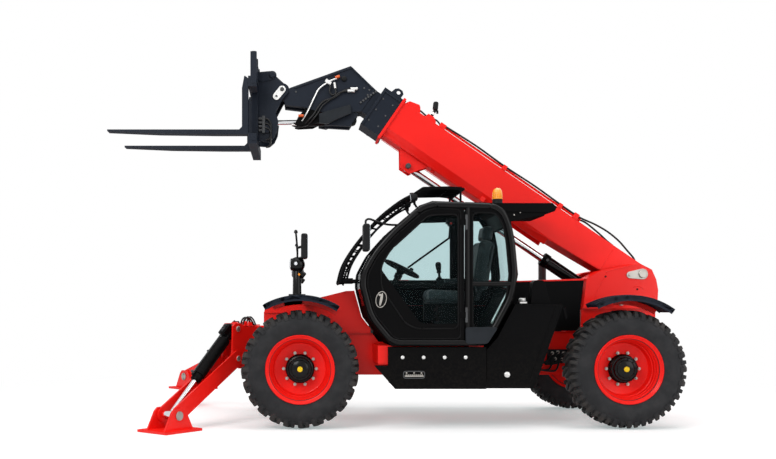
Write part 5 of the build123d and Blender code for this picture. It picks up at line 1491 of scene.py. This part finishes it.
# %% Lamps and mirrors
lamp_work, housings, faces, lenses, blinkers = Work(), Work(), Work(), Work(), Work()
for side in sides.values():
    x, y = front_x + 0.030, side * 1.000
    lamp_work.block((x, y, 1.352), (0.170, 0.110, 0.018))
    lamp_work.lathe((x, y, 1.345), (0, 0, 1),
                    [(0, 0.054), (0.014, 0.054), (0.018, 0.045), (0.240, 0.041), (0.262, 0.030)], 32)
    lamp_work.lathe((x - 0.080, y, 1.663), (1, 0, 0),
                    [(0, 0.010), (0.004, 0.028), (0.014, 0.048), (0.032, 0.064), (0.056, 0.074),
                     (0.078, 0.077), (0.100, 0.074), (0.124, 0.064), (0.130, 0.060), (0.142, 0.062),
                     (0.146, 0.056)], 40)
    lamp_work.lathe((x - 0.022, y, 1.585), (-0.75, 0, -0.55),
                    [(0, 0.020), (0.012, 0.030), (0.058, 0.034), (0.070, 0.026)], 24)
    lamp_work.add(hose([(x - 0.002, y, 1.715), (x - 0.004, y, 1.800), (x + 0.002, y, 1.880),
                        (x + 0.012, y, 1.990)],
                       0.010, black))
    dome(lamp_work, (x + 0.012, y, 1.982), (0, 0, 1), 0.020, 0.034)
    lamp_work.bar((x, y, 1.830), (x - 0.062, y, 1.850), 0.013)
    raised = 0.0 if side > 0 else 0.105
    housings.block((x - 0.074, y, 1.847 + raised), (0.066, 0.172, 0.256))
    faces.block((x - 0.1085, y, 1.847 + raised), (0.004, 0.140, 0.224))
    lenses.lathe((x + 0.064, y, 1.663), (1, 0, 0),
                 [(0, 0.054), (0.008, 0.050), (0.014, 0.034), (0.017, 0.012)], 32)
    dome(lenses, (x + 0.012, y + side * 0.070, 1.668), (0.2, side, 0), 0.018, 0.010)
    blinkers.lathe((x - 0.020, y + side * 0.020, 1.560), (0.6, side, 0),
                   [(0, 0.016), (0.014, 0.016), (0.020, 0.010)], 20)
mirror_y = 1.125
housings.block(ahead(-0.664, mirror_y, 1.925), (0.068, 0.170, 0.275))
faces.block(ahead(-0.6995, mirror_y, 1.925), (0.004, 0.136, 0.238))
lamp_work.add(hose([ahead(*spot) for spot in (
    (-0.664, 1.090, 2.050), (-0.664, 1.085, 2.100), (-0.700, 1.075, 2.118), (-0.770, 1.060, 2.096),
    (-0.880, 1.050, 2.066), (-0.985, 1.045, 2.060))], 0.011, black))
lamp_work.done("lamp_posts", black_gloss, "chassis", 0.0015, ["lamps_mirrors"], "black_paint")
housings.done("mirror_housings", dark_plastic, "chassis", 0.020, segments=4)
faces.done("mirror_faces", mirror_face, "chassis", 0.001)
lenses.done("lamp_glasses", clear_lens, "chassis", 0.001)
blinkers.done("indicator_lenses", amber, "chassis", 0.0008)
print("lamps and mirrors placed")

# %% [markdown]
# The beacon is a ribbed amber dome on a dark base. The roof guard is a lattice of bars
# with short rungs between two rails, and carries a round work lamp. A bolted plate
# closes the side of the roof's rear shelf.

# %% Beacon, guard and roof shelf
beacon_x, beacon_y = front_x - 2.070, 0.700
base = Work().lathe((beacon_x, beacon_y, 2.2853), (0, 0, 1),
                    [(0, 0.060), (0.026, 0.060), (0.040, 0.053), (0.072, 0.053), (0.076, 0.047)], 36)
base.done("beacon_base", dark_plastic, "chassis", 0.0015, ["beacon"], "dark_plastic")
amber_dome = Work().lathe((beacon_x, beacon_y, 2.360), (0, 0, 1), [
    (0, 0.052), (0.006, 0.056), (0.016, 0.052), (0.026, 0.056), (0.036, 0.052), (0.046, 0.055),
    (0.056, 0.051), (0.066, 0.053), (0.076, 0.049), (0.094, 0.044), (0.108, 0.033), (0.117, 0.018),
    (0.120, 0.006)], 36)
amber_dome.done("beacon_dome", amber, "chassis", 0)

guard_line = [(-0.410, 1.481), (-0.452, 1.642), (-0.530, 1.790), (-0.665, 1.975), (-0.826, 2.146),
              (-1.010, 2.290), (-1.140, 2.362), (-1.250, 2.435)]
lattice = Work()
for y in (0.322, 1.018):
    inner = []
    for k, (x, z) in enumerate(guard_line[:-1]):
        onward = Vector(guard_line[k + 1]) - Vector(guard_line[max(k - 1, 0)])
        shift = Vector((-onward.y, onward.x)).normalized() * 0.058
        inner.append((x + shift.x, z + shift.y))
    lattice.add(hose([ahead(x, y, z) for x, z in inner], 0.011, black, 4))
    lattice.add(hose([ahead(x, y, z) for x, z in guard_line[:-1]], 0.019, black, 4))
    for k in range(len(inner) - 1):
        for t in (0.0, 0.34, 0.67):
            a = Vector(guard_line[k]).lerp(Vector(guard_line[k + 1]), t)
            b = Vector(inner[k]).lerp(Vector(inner[k + 1]), min(1.0, t + 0.15))
            lattice.bar(ahead(a.x, y, a.y), ahead(b.x, y, b.y), 0.008, 10)
for k in range(len(guard_line) - 1):
    for t in (0.0, 0.5):
        a = Vector(guard_line[k]).lerp(Vector(guard_line[k + 1]), t)
        lattice.bar(ahead(a.x, 0.322, a.y), ahead(a.x, 1.018, a.y), 0.0095, 12)
lattice.block(ahead(-0.500, 0.80, 1.500), (0.090, 0.180, 0.055))
lattice.block(ahead(-1.500, 0.670, 2.452), (0.300, 0.640, 0.004))
lattice.done("guard_lattice", black, "chassis", 0, slot="black_paint")
work_lamps, work_glasses = Work(), Work()
for y in (0.400, 1.000):
    face_way = Vector((1, 0, -0.18)).normalized()
    spot = ahead(-1.195, y, 2.352)
    work_lamps.lathe(spot, face_way, [(0, 0.020), (0.012, 0.038), (0.040, 0.050), (0.068, 0.053),
                                      (0.074, 0.048)], 32)
    work_lamps.bar(spot + Vector((0.03, 0, -0.04)), spot + Vector((0.03, 0, -0.085)), 0.012)
    work_glasses.lathe(spot + face_way * 0.070, face_way,
                       [(0, 0.045), (0.006, 0.042), (0.011, 0.028), (0.013, 0.01)], 28)
work_lamps.done("work_lamps", dark_plastic, "chassis", 0.001)
work_glasses.done("work_lamp_glasses", clear_lens, "chassis", 0.0008)
shelf = Work().front_plate([(-2.040, 2.285), (-2.560, 2.283), (-2.606, 2.240), (-2.590, 2.205),
                            (-2.480, 2.165), (-2.230, 2.120), (-2.135, 2.095), (-2.085, 2.180)], 1.000, 0.016)
shelf.block(ahead(-2.330, 0.670, 2.176), (0.330, 0.600, 0.030))
shelf.done("shelf_side", black, "chassis", 0.002, slot="black_paint")
shelf_bolts = Work()
for x, z in ((-2.100, 2.240), (-2.140, 2.205), (-2.175, 2.165), (-2.200, 2.230), (-2.235, 2.190),
             (-2.290, 2.240)):
    dome(shelf_bolts, ahead(x, 1.016, z), (0, 1, 0), 0.008, 0.006)
shelf_bolts.done("shelf_bolts", zinc, "chassis", 0)
print("beacon, guard and shelf placed")

# %% [markdown]
# ## Tower and rear
# The boom's pin is locked by a pear-shaped bright plate on the near cheek. A folded edge
# and a weld line run up the cheek, and another weld crosses the boom. A black wall with
# a red capping closes the gap between the tank and the tower, and a block of hydraulic
# valves sits on the frame below it. At the back are the lamps and the tow jaw's pin.

# %% Tower
def pear(first, small, second, big, steps=14):
    """An outline round two circles of different size."""
    a, b = Vector(first), Vector(second)
    way = math.atan2((b - a).y, (b - a).x)
    open_by = math.acos((small - big) / (b - a).length)
    made = []
    for centre, radius, start, end in ((a, small, way + open_by, way + 2 * math.pi - open_by),
                                       (b, big, way - open_by, way + open_by)):
        for k in range(steps + 1):
            t = start + (end - start) * k / steps
            made.append((centre.x + radius * math.cos(t), centre.y + radius * math.sin(t)))
    return made


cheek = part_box("rear_tower")[1].y
lift_pin = pin_of("lift_barrel_turn")
fold = [(-3.105, 1.215), (-3.125, 1.254), (-3.285, 1.590), (-3.300, 1.612), (-3.330, 1.622), (-3.600, 1.686)]
short_weld = [(-3.585, 1.440), (-3.610, 1.455), (-3.660, 1.450), (-3.690, 1.425)]
keeper, pin_ends, tower_seams = Work(), Work(), Work()
for side in sides.values():
    keeper.side_plate(pear((front_x - 3.545, 1.577), 0.036, (boom_pin.x, boom_pin.z), 0.058),
                      face_start(side, cheek, 0.012), 0.012)
    pin_ends.lathe((boom_pin.x, side * (cheek + 0.010), boom_pin.z), (0, side, 0),
                   [(0, 0.043), (0.014, 0.043), (0.018, 0.038)], 32)
    pin_ends.nut(ahead(-3.545, side * (cheek + 0.012), 1.577), (0, side, 0), 0.017, 0.012)
    pin_ends.lathe((lift_pin.x, side * cheek, lift_pin.z), (0, side, 0),
                   [(0, 0.034), (0.010, 0.034), (0.014, 0.028)], 28)
    for line, turns in ((fold, 2), (short_weld, 4)):
        tower_seams.add(hose([ahead(x, side * (cheek + 0.001), z) for x, z in line], 0.0035, red, turns))
keeper.done("boom_pin_keepers", zinc, "chassis", 0.002)
pin_ends.done("tower_pin_ends", zinc, "chassis", 0.001)
tower_seams.done("tower_seams", red, "chassis", 0)
plugs = Work()
for x, z in ((-3.284, 1.560), (-3.626, 1.423)):
    plugs.lathe(ahead(x, cheek - 0.002, z), (0, 1, 0), [(0, 0.011), (0.004, 0.011)], 16)
plugs.done("tower_plugs", seal_rubber, "chassis", 0)
weld = Work()
for side in sides.values():
    for line, radius in (([(0.331, -0.160), (0.345, 0.146)], 0.0035),
                         ([(0.345, -0.150), (1.290, -0.222), (2.200, -0.274), (3.150, -0.274)], 0.003)):
        weld.add(hose([on_boom(along, above, side * 0.1705) for along, above in line], radius, red, 2))
weld.done("boom_welds", red, "boom", 0)

wall = Work().front_plate([(-2.300, 1.272), (-2.660, 1.272), (-2.720, 0.975), (-3.020, 0.975),
                           (-3.022, 1.200), (-3.062, 1.520), (-2.300, 1.500)], 0.404, 0.010)
wall.done("centre_wall", black, "chassis", 0.001, slot="black_paint")
capping = Work().front_plate([(-2.300, 1.499), (-3.062, 1.519), (-3.064, 1.540), (-2.300, 1.512)], 0.398,
                             0.022)
capping.done("centre_wall_capping", red, "chassis", 0.002, slot="red_paint")
valve, valve_ports = Work(), Work()
valve.block(ahead(-2.790, 0.403, 0.700), (0.240, 0.026, 0.150))
for k, (x, z) in enumerate(((-2.720, 0.735), (-2.780, 0.745), (-2.840, 0.735), (-2.750, 0.675),
                            (-2.820, 0.670))):
    valve_ports.bar(ahead(x, 0.414, z), ahead(x, 0.440, z), 0.014)
    valve_ports.nut(ahead(x, 0.415, z), (0, 1, 0), 0.020, 0.012)
    valve.add(hose([ahead(x, 0.432, z), ahead(x + 0.012, 0.436, z - 0.008), ahead(x + 0.03, 0.434, z - 0.03),
                    ahead(x + 0.07, 0.425, z - 0.09 - 0.008 * k), ahead(x + 0.20, 0.420, z - 0.12)],
                   0.010, hose_rubber))
valve.done("valve_block", dark_plastic, "chassis", 0.001)
valve_ports.done("valve_ports", zinc, "chassis", 0.001)

rear_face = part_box("chassis_frame")[0].x
rear_lamps, rear_red, rear_amber = Work(), Work(), Work()
for side in sides.values():
    rear_lamps.block((rear_face - 0.010, side * 0.430, 0.905), (0.036, 0.210, 0.085))
    rear_lamps.block((rear_face - 0.004, side * 0.350, 0.905), (0.014, 0.060, 0.060))
    rear_red.block((rear_face - 0.030, side * 0.385, 0.905), (0.010, 0.090, 0.066))
    rear_amber.block((rear_face - 0.030, side * 0.485, 0.905), (0.010, 0.080, 0.066))
rear_lamps.done("rear_lamp_boxes", dark_plastic, "chassis", 0.004)
rear_red.done("rear_lamps_red", red_lens, "chassis", 0.003)
rear_amber.done("rear_lamps_amber", amber, "chassis", 0.003)
tow_x = rear_x - 0.612
tow = Work().lathe((tow_x, 0, 0.648), (0, 0, 1), [(0, 0.0145), (0.160, 0.0145)], 24)
tow.lathe((tow_x, 0, 0.787), (0, 0, 1), [(0, 0.026), (0.010, 0.026), (0.014, 0.020)], 24)
tow.add(hose([(tow_x, y, z) for y, z in ((0, 0.795), (0.018, 0.830), (0, 0.848), (-0.018, 0.830),
                                         (0, 0.795))],
             0.005, zinc, 4))
tow.done("tow_pin", zinc, "chassis", 0.001)
print("tower and rear dressed")

# %% [markdown]
# ## Cylinders
# A hydraulic cylinder is a barrel with a screwed gland at its mouth, ports at both ends
# and a steel pipe that carries oil past the piston to the far port. Glands are turned
# rings, open in the middle so that the rod can slide, and the pipe follows a line.

# %% Glands, ports and pipes
def cylinder_trim(name, body, joint, end, length, radius, rod, spin, short, sleeve=0.0):
    """Gland, ports and pipe for a barrel that runs from its joint towards an end point."""
    foot, end = pin_of(joint), Vector(end)
    way = (end - foot).normalized()
    turn = Vector(joints[joint]["axis"]).normalized()
    outward = (way.cross(turn).normalized() * math.cos(spin) + turn * math.sin(spin)).normalized()
    if outward.z < 0 and spin == 0:
        outward = -outward
    side_way = way.cross(outward)
    mouth = foot + way * length
    rim, ports = Work(), Work()
    grown = radius * 1.14
    rim.lathe(mouth, way, [(-short * 1.3, radius - 0.0005), (-short * 1.3, grown), (0.0, grown),
                           (0.008, grown - 0.006), (0.008, rod + 0.0062), (0.001, rod + 0.0062),
                           (0.001, radius - 0.0005)], 36, ring=True)
    rim.lathe(foot + way * (radius * 1.6), way,
              [(0, radius + 0.0005), (0, radius + 0.005), (short, radius + 0.005),
                                                 (short, radius + 0.0005)], 36, ring=True)

    def on_barrel(along, out):
        return foot + way * along + outward * out

    block_turn = Matrix((way, side_way, outward)).transposed()
    low, high = radius * 1.6 + short / 2, length - short * 0.65
    for along in (low, high):
        rim.block(on_barrel(along, radius + 0.013), (short * 0.9, radius * 0.8, 0.030), block_turn)
        ports.bar(on_barrel(along, radius + 0.024), on_barrel(along, radius + 0.050), 0.012)
        ports.nut(on_barrel(along, radius + 0.044), outward, 0.0165, 0.014)
    if sleeve:
        sleeve_from, sleeve_long = 0.170, length - 0.170 - short * 1.4
        rim.lathe(foot + way * sleeve_from, way, [(0, radius + 0.0005), (0, sleeve), (sleeve_long, sleeve),
                                                  (sleeve_long, radius + 0.0005)], 36, ring=True)
        rim.block(on_barrel(0.085, 0.064), (0.130, 0.088, 0.062), block_turn)
        for step in (-0.035, 0.0, 0.035):
            ports.bar(on_barrel(0.085 + step, 0.090), on_barrel(0.085 + step, 0.118), 0.011)
            ports.nut(on_barrel(0.085 + step, 0.094), outward, 0.015, 0.012)
    rim.done(name + "_gland", black, body, 0.0015, slot="black_paint")
    lift = max(radius, sleeve) + 0.007
    ports.add(hose([on_barrel(along, lift) + side_way * 0.018 for along in (high - 0.01, high - 0.06,
                                                                            low + 0.10, low + 0.03)],
                   0.0065, black, 3))
    ports.done(name + "_ports", cast_iron, body, 0.0008)


sideways = -math.pi / 2
cylinder_trim("lift", "lift_barrel", "lift_barrel_turn", on_boom(lug_along, lug_above),
              0.880, 0.068, 0.040, sideways, 0.050)
cylinder_trim("tilt", "tilt_barrel", "tilt_barrel_turn", on_boom(4.252, -0.835),
              0.530, 0.050, 0.028, sideways, 0.035)
for side_name in sides:
    cylinder_trim("stabilizer_" + side_name, "leg_barrel_" + side_name, "leg_" + side_name + "_barrel_turn",
                  pin_of("pad_" + side_name + "_tilt"), 0.745, 0.048, 0.026, 0.0, 0.045, 0.062)
print("cylinders dressed")

# %% [markdown]
# Each stabilizer leg ends in a pin held by a bright disc on both plates of its foot. The
# mount shows the turned ends of its own pins, and carries a bent cover on top with two
# hoses that loop over it.

# %% Stabilizers
for side_name, side in sides.items():
    pivot, foot = pin_of("leg_" + side_name + "_raise"), pin_of("pad_" + side_name + "_tilt")
    top = pin_of("leg_" + side_name + "_barrel_turn")
    across = Vector(joints["leg_" + side_name + "_raise"]["axis"]).normalized()
    out = Vector((-across.y, across.x, 0)) * side
    if out.x < 0:
        out = -out
    base = Vector((pivot.x, pivot.y, 0))

    def on_mount(outward, z, aside):
        return base + out * outward + Vector((0, 0, z)) + across * aside

    discs, caps = Work(), Work()
    for end in (1, -1):
        discs.lathe(foot + across * end * 0.137, across * end, [(0, 0.046), (0.007, 0.046), (0.009, 0.043)],
                    36)
        for spread in (-0.030, 0.030):
            discs.nut(foot + across * end * 0.145 + Vector((0, 0, spread)), across * end, 0.011, 0.008)
        caps.lathe(pivot + across * end * 0.1135, across * end, [(0, 0.029), (0.006, 0.029), (0.010, 0.024)],
                   28)
        caps.lathe(top + across * end * 0.0800, across * end, [(0, 0.030), (0.008, 0.030), (0.012, 0.024)],
                   28)
    discs.done("foot_pin_discs_" + side_name, zinc, "leg_" + side_name, 0.001)
    caps.done("mount_pin_ends_" + side_name, zinc, "chassis", 0.001)
    outline = [(-0.330, 1.022), (-0.150, 1.024), (-0.132, 1.034), (-0.138, 1.042), (-0.156, 1.034),
               (-0.330, 1.032)]
    cover = Work().plate([on_mount(away, z, -0.078) for away, z in outline], across * 0.156)
    for rib_at in (-0.27, -0.19):
        cover.plate([on_mount(rib_at + away, z, -0.040) for away, z in (
            (-0.03, 1.030), (0.03, 1.030), (0.02, 1.070), (-0.02, 1.070))], across * 0.012)
    cover.done("mount_cover_" + side_name, red, "chassis", 0.002, slot="red_paint")
    loop = Work()
    for shift in (-0.018, 0.016):
        loop.add(hose([on_mount(away, z, shift - 0.01) for away, z in (
            (-0.340, 1.010), (-0.325, 1.045), (-0.290, 1.090), (-0.240, 1.118), (-0.195, 1.105),
            (-0.170, 1.070), (-0.160, 1.030))], 0.0095, hose_rubber))
    loop.done("mount_hoses_" + side_name, hose_rubber, "chassis", 0)
print("stabilizers dressed")
